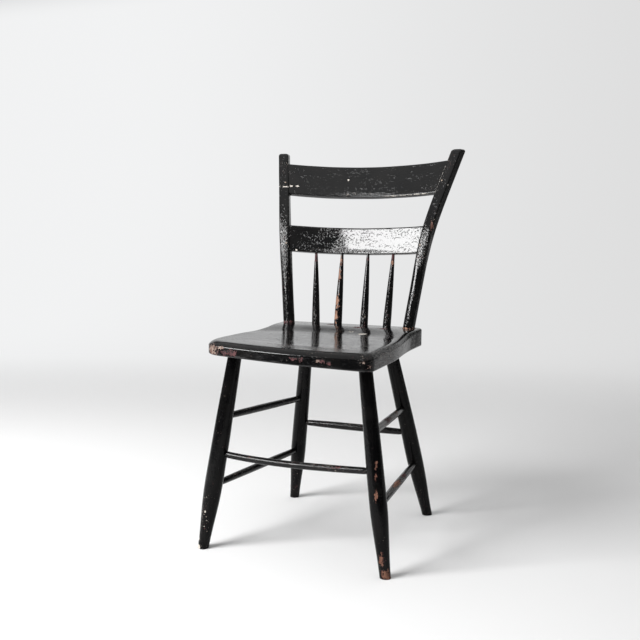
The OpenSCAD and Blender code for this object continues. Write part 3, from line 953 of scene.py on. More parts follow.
    def top_at(self, x: float, y: float) -> float:
        """Height of the plank's top: a level rear band, the hollow and the fall to the front.

        Args:
            x: Place across the plank.
            y: Place along it.

        Returns:
            The height there, before the edges are rounded.
        """
        side = min(1.0, abs(x) / self.rear_half) ** 2
        band = self.rear_y - self.rear_band
        hollow = self.dish * smooth((band - self.dish_draw * side - y) / mix(*self.dish_run, side))
        bowl = self.bowl * (1.0 - side)
        bowl *= smooth((y - self.front_y) / self.bowl_run[0]) * smooth((band - y) / self.bowl_run[1])
        fall = self.front_fall * clamp((self.front_y + self.fall_run - y) / self.fall_run) ** 1.6
        return self.height + self.twist_at(x, y) - bowl - hollow - fall

    def bottom_at(self, x: float, y: float) -> float:
        """Height of the plank's underside, which is lower on the right, where the plank is thicker."""
        wedge = self.right_thicker * ((x / self.front_half + 1.0) / 2.0) ** 2
        return self.height - self.thickness + self.twist_at(x, y) - wedge

    def tooled(self, x: float, y: float) -> float:
        """Unevenness that the plane and the years have left in the top."""
        point = Vector((x, y, 0.0))
        return 0.22 * MM * ripple(point, 0.045, 3.0) + 0.10 * MM * ripple(point, 0.016, 9.0)

    def rounding(self, y: float, angle: float, top: bool) -> Pair:
        """Profile of the plank's edge: a broad roll and a small radius, or a plain one below.

        Args:
            y: Depth of the outline's point.
            angle: How far the profile has turned down from level.
            top: Whether it is the top edge or the bottom one.

        Returns:
            Its inset from the outline and its drop from the face.
        """
        if not top:
            return self.bottom_round * (1.0 - math.sin(angle)), self.bottom_round * (1.0 - math.cos(angle))
        broad = mix(self.roll, self.rear_round, smooth((y - self.rear_y + self.roll_dies) / self.roll_fade))
        small, turn = self.edge_round, self.roll_turn
        first, last = min(angle, turn), max(angle, turn)
        inset = broad * (math.sin(turn) - math.sin(first)) + small * (1.0 - math.sin(last))
        drop = broad * (1.0 - math.cos(first)) + small * (math.cos(turn) - math.cos(last))
        return inset, drop

    def skin(self, bm: Mesh, top: bool) -> None:
        """One face of the plank, drawn over the outline and turned down round its edge.

        Args:
            bm: The plank's mesh.
            top: Whether it is the top or the underside.
        """
        made = bmesh.ops.create_grid(bm, x_segments=self.cells, y_segments=self.cells, size=1.0)
        middle = Vector((0.0, self.middle_y()))
        half_depth = (self.rear_y - self.front_y) / 2.0
        levels = self.cells / 2.0
        flat_levels = levels - self.round_rings
        for vert in made["verts"]:
            u, v = vert.co.x, vert.co.y
            k = max(abs(u), abs(v))
            level = round(k * levels)
            turned_by = clamp((level - flat_levels) / self.round_rings)
            edge = self.outline_at(u / k, v / k) if k > 0.0 else middle
            inset, drop = self.rounding(edge.y, math.radians(90.0) * turned_by, top)
            share = 1.0 - inset / half_depth
            # inside the rounded rings the skin is flat and its rings are evenly spaced
            if level < flat_levels:
                share *= level / flat_levels
            x, y = middle.lerp(edge, share)
            z = self.top_at(x, y) + self.tooled(x, y) - drop if top else self.bottom_at(x, y) + drop
            vert.co = (x, y, z)

    def shape(self) -> Mesh:
        """Builds the plank.

        Returns:
            The plank's mesh, in place.
        """
        bm = bmesh.new()
        self.skin(bm, True)
        self.skin(bm, False)
        rims = [e for e in bm.edges if e.is_boundary]
        sides = bmesh.ops.bridge_loops(bm, edges=rims)
        known = set(rims)
        upright = [e for e in sides["edges"] if e not in known]
        cut = bmesh.ops.subdivide_edges(bm, edges=upright, cuts=self.side_rows)
        for vert in [v for v in cut["geom_inner"] if isinstance(v, bmesh.types.BMVert)]:
            out = Vector((vert.co.x, vert.co.y - self.middle_y(), 0.0)).normalized()
            vert.co += out * 0.25 * MM * ripple(vert.co, 0.022, 5.0)
        mark_grain(bm, 0.4)
        return bm

    def rim_rub(self, point: Vector) -> float:
        """How rubbed the plank is: most along the arris below its roll, at the front and sides.

        Args:
            point: Place on the plank, in metres.

        Returns:
            The rub, from 0 to 1.
        """
        x = min(1.0, abs(point.x) / self.half_width(point.y))
        front = 1.0 - clamp((point.y - self.front_edge(point.x)) / 0.012)
        drop = self.top_at(point.x, point.y) - point.z
        near_arris = 1.0 - clamp(abs(drop - self.arris_drop) / self.arris_reach)
        return self.rub[0] + self.rub[1] * near_arris * max(front, clamp((x - 0.93) / 0.07))

    def build(self) -> None:
        """Builds, wears and places the seat."""
        finished(self.shape(), "seat", Slot.SEAT, self.WORN, self.rim_rub)


# ------------------------------------------------------------------ legs and stretchers


@dataclass
class Undercarriage:
    """Four raked turned legs and the six stretchers that tie them."""

    seat: SeatPlank
    # the legs; the pairs are across and along the seat
    front_belly: float = 0.034
    rear_belly: float = 0.0325
    foot: float = 0.0215
    neck: float = 0.026
    belly_height: float = 0.140
    leg_tenon: float = 0.0156
    foot_round: float = 0.0012
    front_in: Pair = (0.038, 0.088)
    rear_in: Pair = (0.068, 0.035)
    front_slope: Pair = (math.tan(math.radians(8.2)), -math.tan(math.radians(4.9)))
    rear_slope: Pair = (math.tan(math.radians(9.8)), math.tan(math.radians(12.1)))
    # the stretchers; the pairs are height and thickness, then front and rear height
    tenon: float = 0.012
    neck_more: float = 0.0012
    past_axis: float = 0.006
    clear_of_leg: float = 0.003
    front_bar: Pair = (0.196, 0.014)
    rear_bar: Pair = (0.197, 0.0163)
    side_bar: float = 0.0152
    upper: Pair = (0.270, 0.256)
    lower: Pair = (0.131, 0.127)
    upper_skew: float = 0.004
    front_bar_dip: float = 0.0052
    # the rub, all over
    leg_rub: float = 0.14
    bar_rub: float = 0.22
    rear_bar_rub: float = 0.20

    # what each leg's belly has over the two sizes above, by side (-1 is left) and whether it is in front
    THICKER = {(-1, True): 0.0028, (1, True): 0.0, (-1, False): 0.0018, (1, False): 0.0030}

    WORN = {
        "leg_front_left": (
            bare_wood((-169, -173.2, 290), (3, 5, 4)),
            pale_filler_and_highlight((-201.5, -202.2, 4), (6, 6, 5)),
            rubbed_gloss((-194, -202.2, 75), (12, 16, 55)),
            pale_filler_and_highlight((-201.9, -198.8, 20), (2.2, 3, 4)),
            pale_filler_and_highlight((-187.9, -202.9, 49), (1.2, 1.6, 1.7)),
            pale_filler_and_highlight((-182.0, -201.9, 62), (1.0, 1.6, 1.5)),
            pale_filler_and_highlight((-185.8, -202.5, 80), (1.5, 1.6, 2.8)),
            pale_filler_and_highlight((-182.1, -201.6, 110), (1.1, 1.6, 1.8)),
            pale_filler_and_highlight((-189.3, -199.1, 108), (1.3, 1.6, 1.8)),
        ),
        "leg_front_right": (
            bare_wood((173, -188.2, 212), (2.0, 5, 8)),
            bare_wood((174, -194.2, 192), (1.5, 4, 7)),
            bare_wood((177, -198.2, 158), (2.2, 5, 10)),
            bare_wood((191, -204.2, 38), (4.0, 7, 10)),
            bare_wood((201, -202.2, 8), (8, 8, 9)),
            rubbed_gloss((190, -206.2, 26), (12, 12, 26)),
        ),
        "leg_rear_left": (rubbed_gloss((-155, 168, 30), (16, 20, 30)),),
        "leg_rear_right": (rubbed_gloss((160, 176, 30), (16, 20, 30)),),
        "stretcher_front": (
            rubbed_gloss((30, -182.2, 200), (110, 10, 6)),
            bare_wood((-96, -187.2, 199), (7, 4, 3)),
            bare_primer((20, -187.2, 197), (16, 4, 4)),
            bare_primer((88, -185.2, 200), (10, 4, 4)),
        ),
        "stretcher_rear": (rubbed_gloss((0, 150.8, 204), (90, 10, 6)),),
        "stretcher_upper_left": (
            rubbed_gloss((-150, -1.2, 272), (12, 110, 6)),
            bare_primer((-150, -61.2, 272), (6, 12, 4)),
        ),
        "stretcher_upper_right": (
            rubbed_gloss((146, -1.2, 266), (14, 130, 8)),
            bare_primer((150, -41.2, 268), (8, 26, 4)),
            bare_wood((141, 50.8, 267), (6, 12, 3)),
        ),
        "stretcher_lower_left": (
            rubbed_gloss((-166, -21.2, 136), (12, 120, 6)),
            bare_primer((-166, 28.8, 136), (7, 18, 4)),
        ),
        "stretcher_lower_right": (
            rubbed_gloss((166, -21.2, 134), (14, 120, 8)),
            bare_wood((168, -37.2, 136), (9, 25, 4)),
            bare_primer((166, 26.8, 136), (8, 16, 4)),
        ),
    }

    def underside(self) -> float:
        """Height of the plank's underside."""
        return self.seat.height - self.seat.thickness

    def shoulder(self) -> float:
        """Length of a stretcher's end, from the leg's axis to clear of the leg."""
        return self.front_belly / 2.0 + self.clear_of_leg

    def leg_at(self, side: int, front: bool, z: float) -> Vector:
        """Point on a leg's axis.

        Args:
            side: -1 for the left leg and 1 for the right.
            front: Whether it is a front leg.
            z: Height of the point.

        Returns:
            The point, in metres.
        """
        seat = self.seat
        if front:
            slope = self.front_slope
            x, y = seat.front_half - self.front_in[0], seat.front_y + self.front_in[1]
        else:
            slope = self.rear_slope
            x, y = seat.rear_half - self.rear_in[0], seat.rear_y - self.rear_in[1]
        fall = self.underside() - z
        return Vector((side * (x + slope[0] * fall), y + slope[1] * fall, z))

    def leg_radius(self, side: int, front: bool, z: float) -> float:
        """Radius of a leg by height: a slim foot, a belly and a long taper.

        Args:
            side: -1 for the left leg and 1 for the right.
            front: Whether it is a front leg.
            z: Height on the leg.

        Returns:
            The radius, in metres.
        """
        more = self.THICKER[side, front]
        belly = more + (self.front_belly if front else self.rear_belly)
        if z < self.belly_height:
            swell = math.sin(math.radians(90.0 * max(0.0, z) / self.belly_height)) ** 1.6
            return mix(self.foot + 0.3 * more, belly, swell) / 2.0
        taper = clamp((z - self.belly_height) / (self.underside() - self.belly_height)) ** 1.5
        return mix(belly, self.neck + 0.6 * more, taper) / 2.0

    def leg(self, side: int, front: bool) -> Mesh:
        """One leg, cut level at the floor.

        Args:
            side: -1 for the left leg and 1 for the right.
            front: Whether it is a front leg.

        Returns:
            The leg's mesh, in place.
        """
        below = -0.006
        top = self.underside() + self.leg_tenon
        start, end = self.leg_at(side, front, below), self.leg_at(side, front, top)
        rise = (top - below) / (end - start).length
        seed = 20.0 + 3.0 * side + (1.0 if front else 7.0)
        bm = turned(start, end, lambda s: self.leg_radius(side, front, below + s * rise), 44, 190, seed)
        ease(bm, saw_level(bm, 0.0, True), self.foot_round, 4)
        return bm

    def bar(self, start: Vector, end: Vector, middle: float, seed: float) -> Mesh:
        """Turned stretcher between two legs' axes.

        Args:
            start: Point on the first leg's axis.
            end: Point on the second leg's axis.
            middle: Diameter of the swell.
            seed: Offset of its unevenness.

        Returns:
            The stretcher's mesh, in place.
        """
        along = (end - start).normalized() * self.past_axis
        length = (end - start).length
        neck = self.tenon + self.neck_more
        swell_start = self.shoulder() + MM

        def radius(s: float) -> float:
            """Radius along the stretcher.

            Args:
                s: Distance from the first tenon's end.

            Returns:
                The radius, in metres.
            """
            share = (s - self.past_axis - swell_start) / (length - 2.0 * swell_start)
            if not 0.0 < share < 1.0:
                return self.tenon / 2.0
            return mix(neck, middle, math.sin(math.pi * share) ** 0.7) / 2.0

        return turned(start - along, end + along, radius, 28, 150, seed)

    def legs(self) -> None:
        """Builds the four legs."""
        for front in (True, False):
            for side in (-1, 1):
                name = f"leg_{'front' if front else 'rear'}_{hand(side)}"
                finished(self.leg(side, front), name, Slot.LEG, self.WORN[name], self.leg_rub)

    def cross_bars(self) -> None:
        """Builds the front stretcher, which has sagged, and the back one."""
        height, middle = self.front_bar
        start, end = self.leg_at(-1, True, height), self.leg_at(1, True, height)
        bm = self.bar(start, end, middle, 41.0)
        low, high = start.x + self.shoulder(), end.x - self.shoulder()
        for vert in bm.verts:
            share = clamp((vert.co.x - low) / (high - low))
            vert.co.z -= self.front_bar_dip * math.sin(math.pi * share**0.8)
        name = "stretcher_front"
        finished(bm, name, Slot.STRETCHER, self.WORN[name], self.bar_rub)
        height, middle = self.rear_bar
        bm = self.bar(self.leg_at(-1, False, height), self.leg_at(1, False, height), middle, 43.0)
        name = "stretcher_rear"
        finished(bm, name, Slot.STRETCHER, self.WORN[name], self.rear_bar_rub)

    def side_bars(self) -> None:
        """Builds the two stretchers on each side."""
        for side in (-1, 1):
            skew = -side * self.upper_skew / 2.0
            for row, heights, lift in (("upper", self.upper, skew), ("lower", self.lower, 0.0)):
                start = self.leg_at(side, True, heights[0] + lift)
                end = self.leg_at(side, False, heights[1] + lift)
                name = f"stretcher_{row}_{hand(side)}"
                bm = self.bar(start, end, self.side_bar, 50.0 + 2.0 * side + 40.0 * heights[0])
                finished(bm, name, Slot.STRETCHER, self.WORN[name], self.bar_rub)

    def build(self) -> None:
        """Builds every piece under the seat."""
        self.legs()
        self.cross_bars()
        self.side_bars()


# ------------------------------------------------------------------ back rest


@dataclass(frozen=True)
class Slat:
    """One bent board of the back: the height of its middle and its width along its lean."""

    name: str
    height: float
    width: float


@dataclass
class BackRest:
    """Two bent posts, the crest rail and mid slat between them, four spindles and the pegs."""

    seat: SeatPlank
    # the posts; the pairs are across and along the seat, then below and above the bend
    top: float
    post: float = 0.0259
    top_width: float = 0.0238
    top_depth: float = 0.0245
    top_round: float = 0.006
    post_in: Pair = (0.0232, 0.0368)
    post_tenon: float = 0.0236
    lean: Pair = (math.tan(math.radians(9.3)), math.tan(math.radians(26.6)))
    splay: Pair = (math.tan(math.radians(7.2)), math.tan(math.radians(13.8)))
    bend_start: float = 0.116
    bend: float = 0.183
    turn: float = math.radians(8.0)
    squareness: float = 6.0
    shaved_early: float = 0.030
    # the slats
    crest_drop: float = 0.063
    slat_pitch: float = 0.1365
    crest_width: float = 0.0775
    slat_width: float = 0.060
    slat_thick: float = 0.0125
    slat_bow: float = 0.021
    slat_round: float = 0.002
    housed: float = 0.007
    # the spindles: each one's places across the seat and the mid slat, and its two thicknesses
    spindle_places: tuple[tuple[str, float, float], ...] = (
        ("spindle_outer_left", -0.084, -0.092),
        ("spindle_inner_left", -0.031, -0.031),
        ("spindle_inner_right", 0.031, 0.031),
        ("spindle_outer_right", 0.084, 0.092),
    )
    spindle: Pair = (0.018, 0.0062)
    spindle_in: float = 0.017
    spindle_tenon: float = 0.0176
    spindle_top_tenon: float = 0.0116
    # the pegs
    peg: float = 0.0036
    peg_low: float = 0.015
    peg_inset: float = 0.007
    peg_proud: float = 0.0003
    peg_short: float = 0.003
    peg_round: float = 0.0003
    # the rub: all over and along the arrises
    post_rub: Pair = (0.16, 0.42)
    slat_rub: Pair = (0.08, 0.40)
    slat_rub_width: float = 0.004
    spindle_rub: float = 0.16

    WORN = {
        "post_left": (
            pale_filler_and_highlight((-187.6, 185, 746.5), (16, 12, 1.8)),
            rubbed_gloss((-168, 120, 595), (40, 50, 85)),
            bare_primer((-144.1, 102.2, 439), (14, 14, 2)),
            rubbed_gloss((-193.8, 206.1, 800), (16, 20, 30)),
        ),
        "post_right": (
            pale_filler_and_highlight((202.1, 182.5, 746), (2.4, 3, 2.4)),
            bare_wood((180, 139.4, 657), (2.6, 5, 9)),
            bare_wood((141.8, 106.1, 438), (15, 15, 1.8)),
            rubbed_gloss((193.8, 206.1, 800), (16, 20, 30)),
            # painted highlight: a pale line down the right post's arris beside the crest, for the arris's
            # reflection of the window
            *pale_line((175.0, 172.5, 728.0), (190.4, 203.9, 791.0), 10),
            rubbed_gloss((170, 122, 610), (30, 40, 45)),
        ),
        "crest_rail": (
            pale_filler_and_highlight((-42, 215.3, 761.2), (2.6, 3, 2.2)),
            pale_filler_and_highlight((-174.5, 188.6, 747.8), (4.5, 4, 2.2)),
            pale_filler_and_highlight((-160.3, 191.4, 747.8), (4.0, 4, 2.4)),
            rubbed_gloss((0, 204.6, 728), (180, 14, 5)),
            *pale_line((-38, 196.2, 722.0), (60, 195.0, 722.7), 4),
            *pale_line((60, 195.0, 722.7), (155, 184.0, 728.3), 5),
            rubbed_gloss((0, 236.1, 797), (180, 14, 5)),
        ),
        "mid_slat": (
            pale_filler_and_highlight((-135.9, 132.1, 600.5), (2.6, 3, 2.4)),
            rubbed_gloss((0, 149.6, 600), (170, 14, 5)),
        ),
        "spindle_outer_left": (
            bare_primer((-92, 142.1, 584), (5, 6, 9)),
            rubbed_gloss((-85, 124.9, 450), (10, 10, 30)),
        ),
        "spindle_inner_left": (
            bare_wood((-33.5, 146.1, 580), (5, 6, 9)),
            bare_wood((-34, 138.8, 547), (4.5, 7, 12)),
            bare_wood((-34, 129.3, 486), (5, 7, 13)),
            bare_wood((-35, 125, 454), (6, 7, 11)),
        ),
        "spindle_inner_right": (
            bare_primer((31, 145.1, 586), (4, 5, 5)),
            rubbed_gloss((31, 124.9, 450), (10, 10, 30)),
        ),
        "spindle_outer_right": (
            bare_primer((92, 141.1, 583), (5, 6, 11)),
            bare_wood((92, 139, 576), (3, 5, 6)),
            rubbed_gloss((86, 124.9, 450), (10, 10, 30)),
        ),
    }

    def slats(self) -> tuple[Slat, Slat]:
        """The boards of the back.

        Returns:
            The crest rail and the mid slat.
        """
        crest = self.top - self.crest_drop
        return (
            Slat("crest_rail", crest, self.crest_width),
            Slat("mid_slat", crest - self.slat_pitch, self.slat_width),
        )

    def post_at(self, z: float) -> Vector:
        """Point on the right post's centre line.

        Args:
            z: Height of the point.

        Returns:
            The point, in metres.
        """
        rise = z - self.seat.height
        bent = smooth_run(rise - self.bend_start, self.bend)
        base_x = self.seat.rear_half - self.post_in[0]
        base_y = self.seat.rear_y - self.post_in[1]
        x = base_x + self.splay[0] * rise + (self.splay[1] - self.splay[0]) * bent
        y = base_y + self.lean[0] * rise + (self.lean[1] - self.lean[0]) * bent
        return Vector((x, y, z))

    def shaved(self, z: float) -> float:
        """How far the post's section has gone from round to shaved at height z."""
        return smooth((z - self.seat.height - self.bend_start + self.shaved_early) / self.bend)

    def half_section(self, z: float) -> Pair:
        """Half the post's width and half its depth at height z."""
        cut = self.shaved(z)
        return mix(self.post, self.top_width, cut) / 2.0, mix(self.post, self.top_depth, cut) / 2.0

    def post_frame(self, z: float) -> Matrix:
        """Frame of the right post's section.

        Args:
            z: Height on the centre line.

        Returns:
            The matrix whose axes run across, back and along the post.
        """
        axis = (self.post_at(z + 0.5 * MM) - self.post_at(z - 0.5 * MM)).normalized()
        angle = self.turn * self.shaved(z)
        out = Vector((math.cos(angle), -math.sin(angle), 0.0))
        across = (out - axis * out.dot(axis)).normalized()
        back = axis.cross(across)
        turn = Matrix((across, back, axis)).transposed().to_4x4()
        return Matrix.Translation(self.post_at(z)) @ turn

    def section_radius(self, angle: float, z: float) -> float:
        """Radius of the post's section, which goes from round to square.

        Args:
            angle: Direction from the centre line.
            z: Height on the post.

        Returns:
            The radius, in metres.
        """
        half_w, half_t = self.half_section(z)
        n = mix(2.0, self.squareness, self.shaved(z))
        return (abs(math.cos(angle) / half_w) ** n + abs(math.sin(angle) / half_t) ** n) ** (-1.0 / n)

    def post_blank(self, side: int) -> Mesh:
        """One post, bent, sawn off level and rounded over at its top.

        Args:
            side: -1 for the left post and 1 for the right.

        Returns:
            The post's mesh, in place.
        """
        base = self.seat.height - self.post_tenon
        length = self.top + self.top_depth - base
        bm = straight_blank(64, 130, length)
        grain = bm.verts.layers.float_vector.new("grain")
        frames: dict[int, Matrix] = {}
        for vert in bm.verts:
            z = base + vert.co.z
            key = round(z / (0.01 * MM))
            if key not in frames:
                frames[key] = self.post_frame(z)
            angle = math.atan2(vert.co.y, vert.co.x)
            reach = self.section_radius(angle, z)
            reach += 0.25 * MM * ripple(Vector((vert.co.x, vert.co.y, z / 0.035)), 1.2, 60.0 + side)
            local = Vector((reach * math.cos(angle), reach * math.sin(angle), 0.0))
            vert[grain] = Vector((local.x, local.y, z)) + Vector((0.6 + 0.3 * side,) * 3)
            vert.co = frames[key] @ local
        saw_level(bm, self.top - self.top_round, False)
        lean = (self.post_at(self.top) - self.post_at(self.top - self.top_round)) / self.top_round
        round_over(bm, self.top_round, lean)
        if side < 0:
            bmesh.ops.scale(bm, vec=(-1.0, 1.0, 1.0), verts=bm.verts)
        return bm

    def post_wear(self, side: int) -> Callable[[Vector], float]:
        """How rubbed a post is: most along the arrises of its shaved length.

        Args:
            side: -1 for the left post and 1 for the right.

        Returns:
            The function that gives it by place.
        """

        def rub(point: Vector) -> float:
            """Rub of the post.

            Args:
                point: Place on the post, in metres.

            Returns:
                The rub, from 0 to 1.
            """
            here = Vector((side * point.x, point.y, point.z))
            z = min(point.z, self.top - MM)
            local = self.post_frame(z).inverted() @ here
            corner = abs(local.x) * abs(local.y) / (self.top_width * self.top_depth / 4.0)
            return self.post_rub[0] + self.post_rub[1] * self.shaved(z) * smooth((corner - 0.62) / 0.25)

        return rub

    def bow_radius(self, slat: Slat) -> float:
        """Radius of a slat's bend."""
        half = self.half_span(slat)
        return (half * half + self.slat_bow**2) / (2.0 * self.slat_bow)

    def half_span(self, slat: Slat) -> float:
        """Half the clear width between the posts at a slat's middle."""
        return self.post_at(slat.height).x - self.half_section(slat.height)[0]

    def slat_lean(self, slat: Slat) -> float:
        """Backward lean of a slat, in line with the posts."""
        axis = self.post_frame(slat.height).col[2]
        return math.atan2(axis.y, axis.z)

    def slat_place(self, slat: Slat) -> Matrix:
        """Matrix that sets a slat from its own upright frame into the back."""
        move = Matrix.Translation((0.0, self.post_at(slat.height).y, slat.height))
        return move @ Matrix.Rotation(-self.slat_lean(slat), 4, "X")

    def board(self, slat: Slat) -> Mesh:
        """Bent board with eased long edges.

        Args:
            slat: Which slat it is.

        Returns:
            The board's mesh, in place.
        """
        half = self.half_span(slat) + self.housed
        radius = self.bow_radius(slat)
        bm = bmesh.new()
        bmesh.ops.create_cube(bm, size=1.0)
        bmesh.ops.scale(bm, vec=(2.0 * half, self.slat_thick, slat.width), verts=bm.verts)
        ease(bm, edges_along(bm, 0, half), self.slat_round, 4)
        bmesh.ops.subdivide_edges(bm, edges=edges_along(bm, 0, half), cuts=150)
        bmesh.ops.subdivide_edges(bm, edges=edges_along(bm, 2, slat.width / 2.0), cuts=22)
        grain = bm.verts.layers.float_vector.new("grain")
        for vert in bm.verts:
            x, y, z = vert.co
            vert[grain] = Vector((y, z, x)) + Vector((slat.height * 3.0,) * 3)
            y += 0.28 * MM * ripple(Vector((x, z, 0.0)), 0.038, slat.height * 50.0)
            z += 0.35 * MM * ripple(Vector((x, math.copysign(0.02, z), 0.0)), 0.050, 8.0)
            angle = x * (1.0 + z * self.splay[1] / half) / radius
            vert.co = (
                (radius + y) * math.sin(angle),
                self.slat_bow - radius + (radius + y) * math.cos(angle),
                z,
            )
        bmesh.ops.transform(bm, matrix=self.slat_place(slat), verts=bm.verts)
        return bm

    def slat_wear(self, slat: Slat) -> Callable[[Vector], float]:
        """How rubbed a slat is: most along its long edges.

        Args:
            slat: Which slat it is.

        Returns:
            The function that gives it by place.
        """
        back = self.slat_place(slat).inverted()

        def rub(point: Vector) -> float:
            """Rub at a place on the slat."""
            from_edge = slat.width / 2.0 - abs((back @ point).z)
            return self.slat_rub[0] + self.slat_rub[1] * (1.0 - smooth(from_edge / self.slat_rub_width))

        return rub

    def spindle_radius(self, share: float) -> float:
        """Radius of a spindle's taper, from the seat up to the mid slat."""
        return mix(self.spindle[0], self.spindle[1], clamp(share) ** 1.5) / 2.0

    def spindle_bar(self, base_x: float, top_x: float, seed: float) -> Mesh:
        """Tapered spindle between the seat and the mid slat's underside.

        Args:
            base_x: Its place across the seat.
            top_x: Its place across the mid slat.
            seed: Offset of its unevenness.

        Returns:
            The spindle's mesh, in place.
        """
        mid = self.slats()[1]
        radius = self.bow_radius(mid)
        y = self.slat_bow - radius + math.sqrt(radius * radius - top_x * top_x)
        top = self.slat_place(mid) @ Vector((top_x, y, -mid.width / 2.0))
        base = Vector((base_x, self.seat.rear_y - self.spindle_in, self.seat.height - self.spindle_tenon))
        clear = (top - base).length
        end = top + (top - base).normalized() * self.spindle_top_tenon

        def taper(s: float) -> float:
            """Radius by distance from the tenon's foot."""
            return self.spindle_radius((s - self.spindle_tenon) / (clear - self.spindle_tenon))

        return turned(base, end, taper, 28, 110, seed)

    def pegs(self) -> Mesh:
        """The four pegs that lock the slats' tenons, with their rims eased.

        Returns:
            The pegs' mesh, in place.
        """
        bm = bmesh.new()
        for slat in self.slats():
            half_w, half_t = self.half_section(slat.height)
            length = 2.0 * half_t - self.peg_short
            middle = Vector((self.peg_inset - half_w, -half_t - self.peg_proud + length / 2.0, -self.peg_low))
            lay = Matrix.Translation(middle) @ Matrix.Rotation(math.radians(90.0), 4, "X")
            for side in (-1, 1):
                mirror = Matrix.Scale(side, 4, (1.0, 0.0, 0.0))
                made = bmesh.ops.create_cone(
                    bm,
                    cap_ends=True,
                    segments=28,
                    radius1=self.peg / 2.0,
                    radius2=self.peg / 2.0,
                    depth=length,
                    matrix=mirror @ self.post_frame(slat.height) @ lay,
                )
                around = dict.fromkeys(e for v in made["verts"] for e in v.link_edges)
                rims = [e for e in around if e.calc_length() < self.peg / 2.0]
                ease(bm, rims, self.peg_round, 3)
        return bm

    def build(self) -> None:
        """Builds every piece above the seat."""
        for side in (-1, 1):
            name = f"post_{hand(side)}"
            finished(self.post_blank(side), name, Slot.POST, self.WORN[name], self.post_wear(side))
        for slat in self.slats():
            finished(self.board(slat), slat.name, Slot.SLAT, self.WORN[slat.name], self.slat_wear(slat))
        for i, (name, base_x, top_x) in enumerate(self.spindle_places):
            bm = self.spindle_bar(base_x, top_x, 70.0 + 4.0 * i)
            finished(bm, name, Slot.SPINDLE, self.WORN[name], self.spindle_rub)
        finished(self.pegs(), "tenon_pegs", Slot.PEG)


# ------------------------------------------------------------------ studio


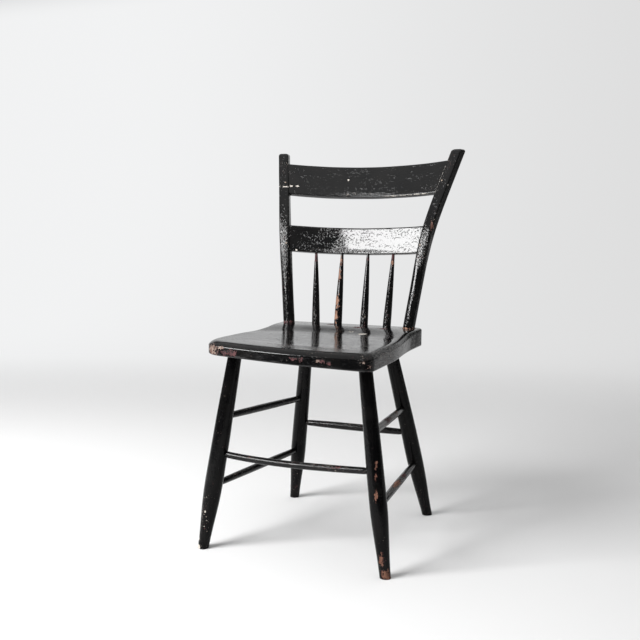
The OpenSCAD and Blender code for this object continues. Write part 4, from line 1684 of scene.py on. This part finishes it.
@dataclass(frozen=True)
class Studio:
    """Pale sweep, one broad window on the left, a bright ceiling and the camera."""

    # two level directions: from the chair to the camera, and to the camera's right
    toward: Point = (0.385, -0.923, 0.0)
    across: Point = (0.923, 0.385, 0.0)
    # the paper near and far, greyer far in front as painted shade of the dim room, its glow and the room's
    # light
    pale: float = 0.84
    far: float = 0.10
    glow_left: Colour = (0.885, 0.890, 0.895, 1.0)
    glow_right: Colour = (0.715, 0.715, 0.715, 1.0)
    glow_slant: Pair = (0.385, 0.50)
    glow_top: Pair = (2.15, 2.8)
    room_behind: float = 0.82
    room_above: float = 0.72
    # the window
    window_aim: Point = (0.0, 0.1, 0.55)
    window_azimuth: float = -36.0
    window_elevation: float = 24.0
    window_distance: float = 2.6
    window_size: Pair = (1.36, 1.07)
    window_watts: float = 103.0
    # the sweep
    floor_front: float = -8.0
    cove_y: float = 2.4
    cove_round: float = 1.3
    half_width: float = 7.0
    wall_top: float = 4.5
    # the camera
    camera_place: Point = (0.6997, -1.7249, 0.6601)
    camera_ahead: float = 1.86
    camera_azimuth: float = 22.67
    camera_elevation: float = 6.171
    camera_roll: float = 0.344
    lens: float = 50.0
    sensor: float = 36.0

    def sweep(self) -> None:
        """Floor that curves up into the back wall."""
        bm = bmesh.new()
        line = [(self.floor_front, 0.0), (0.0, 0.0), (self.cove_y, 0.0)]
        steps = 24
        for i in range(1, steps + 1):
            a = math.radians(90.0 * i / steps)
            line.append((self.cove_y + self.cove_round * math.sin(a), self.cove_round * (1.0 - math.cos(a))))
        line.append((self.cove_y + self.cove_round, self.wall_top))
        verts = [bm.verts.new((-self.half_width, y, z)) for y, z in line]
        edges = [bm.edges.new(pair) for pair in zip(verts, verts[1:])]
        made = bmesh.ops.extrude_edge_only(bm, edges=edges)
        moved = [v for v in made["geom"] if isinstance(v, bmesh.types.BMVert)]
        bmesh.ops.translate(bm, vec=(2.0 * self.half_width, 0.0, 0.0), verts=moved)
        for face in bm.faces:
            face.smooth = True
        bmesh.ops.recalc_face_normals(bm, faces=bm.faces)
        mesh = bpy.data.meshes.new("sweep")
        bm.to_mesh(mesh)
        bm.free()
        mesh.materials.append(self.sweep_paper())
        floor = placed("sweep", mesh)

    def sweep_paper(self) -> bpy.types.Material:
        """Matt paper, pale round the chair and greyer far in front as painted shade of the dim room there,
        with a glow behind the chair.

        Returns:
            The material. Only the camera and reflections see the glow.
        """
        material, board, shader = new_material("sweep paper")
        place = board.node("ShaderNodeTexCoord", {}).outputs["Object"]
        ahead = board.along(place, self.toward)
        pale = (self.pale, self.pale, self.pale, 1.0)
        far = (self.far, self.far, self.far, 1.0)
        # painted shade: the paper's own colour greys from 1 m to 2.2 m in front, standing for the dim room
        # that the gloss reflects
        board.plug(shader.inputs["Base Color"], board.blend(board.between(ahead, 1.0, 2.2), pale, far))
        shader.inputs["Roughness"].default_value = 0.9
        shader.inputs["Specular IOR Level"].default_value = 0.1
        rays = board.node("ShaderNodeLightPath", {}).outputs
        seen = board.most(rays["Is Camera Ray"], rays["Is Glossy Ray"], rays["Is Transmission Ray"])
        behind = board.between(ahead, -2.6, -0.8, 1.0, 0.0)
        glow = self.backdrop_glow(board, place, ahead)
        share = board.times(seen, behind)
        blended = board.node("ShaderNodeMixShader", {0: share, 1: shader.outputs[0], 2: glow})
        output = next(n for n in material.node_tree.nodes if n.type == "OUTPUT_MATERIAL")
        board.plug(output.inputs["Surface"], blended.outputs[0])
        return material

    def backdrop_glow(self, board: Board, place: Feed, ahead: Feed) -> Feed:
        """Backdrop's light, brighter on the left, that fades past the camera's view.

        Args:
            board: The paper's board.
            place: Place on the paper.
            ahead: How far in front of the chair's middle that place is, towards the camera.

        Returns:
            The socket that carries the shader.
        """
        tone = board.blend(board.between(board.axis(place, "X"), -3.2, 1.4), self.glow_left, self.glow_right)
        aside = board.sum("ABSOLUTE", board.along(place, self.across))
        slant = board.sum("DIVIDE", aside, board.less(self.camera_ahead, ahead))
        width = board.between(slant, *self.glow_slant, 1.0, 0.10)
        height = board.between(board.axis(place, "Z"), *self.glow_top, 1.0, 0.12)
        feeds = {"Color": tone, "Strength": board.times(width, height)}
        return board.node("ShaderNodeEmission", feeds).outputs[0]

    def window(self) -> None:
        """The window: one large soft lamp."""
        lamp = bpy.data.lights.new("window", "AREA")
        lamp.shape = "RECTANGLE"
        lamp.size, lamp.size_y = self.window_size
        lamp.energy = self.window_watts
        holder = placed("window", lamp)
        out = heading(self.window_azimuth, self.window_elevation)
        holder.location = Vector(self.window_aim) + out * self.window_distance
        holder.rotation_mode = "QUATERNION"
        holder.rotation_quaternion = (-out).to_track_quat("-Z", "Y")
        holder.visible_camera = False

    def ceiling_and_room(self) -> None:
        """World light: a bright ceiling, a bright back and a dim room in front."""
        world = bpy.data.worlds.new("room")
        bpy.context.scene.world = world
        world.use_nodes = True
        board = Board(world.node_tree)
        way = board.node("ShaderNodeTexCoord", {}).outputs["Generated"]
        back = board.between(board.along(way, self.toward), -0.90, -0.40, self.room_behind, self.far)
        ceiling = board.between(board.axis(way, "Z"), 0.36, 0.85, self.far, self.room_above)
        backdrop = next(n for n in world.node_tree.nodes if n.type == "BACKGROUND")
        board.plug(backdrop.inputs["Strength"], board.most(back, ceiling))
        backdrop.inputs["Color"].default_value = (1.0, 1.0, 1.0, 1.0)

    def camera(self) -> None:
        """The camera, just above the mid slat's height and looking a little down."""
        back = heading(self.camera_azimuth, self.camera_elevation)
        right = Vector((-back.y, back.x, 0.0)).normalized()
        turn = Matrix((right, back.cross(right), back)).transposed().to_4x4()
        roll = Matrix.Rotation(math.radians(self.camera_roll), 4, "Z")
        data = bpy.data.cameras.new("camera")
        data.lens, data.sensor_width = self.lens, self.sensor
        holder = placed("camera", data)
        holder.matrix_world = Matrix.Translation(self.camera_place) @ turn @ roll
        bpy.context.scene.camera = holder

    def build(self) -> None:
        """Sets up everything that isn't the chair."""
        self.sweep()
        self.window()
        self.ceiling_and_room()
        self.camera()
        bpy.context.scene.view_settings.view_transform = "Standard"


def main() -> None:
    """Builds the studio and the chair."""
    logging.basicConfig(level=logging.INFO, format="%(name)s %(message)s")
    low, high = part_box("seat")
    seat = SeatPlank(front_y=low.y, rear_y=high.y, front_half=high.x, height=high.z)
    Studio().build()
    seat.build()
    Undercarriage(seat).build()
    BackRest(seat, top=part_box("post_right")[1].z).build()


if __name__ == "__main__":
    main()
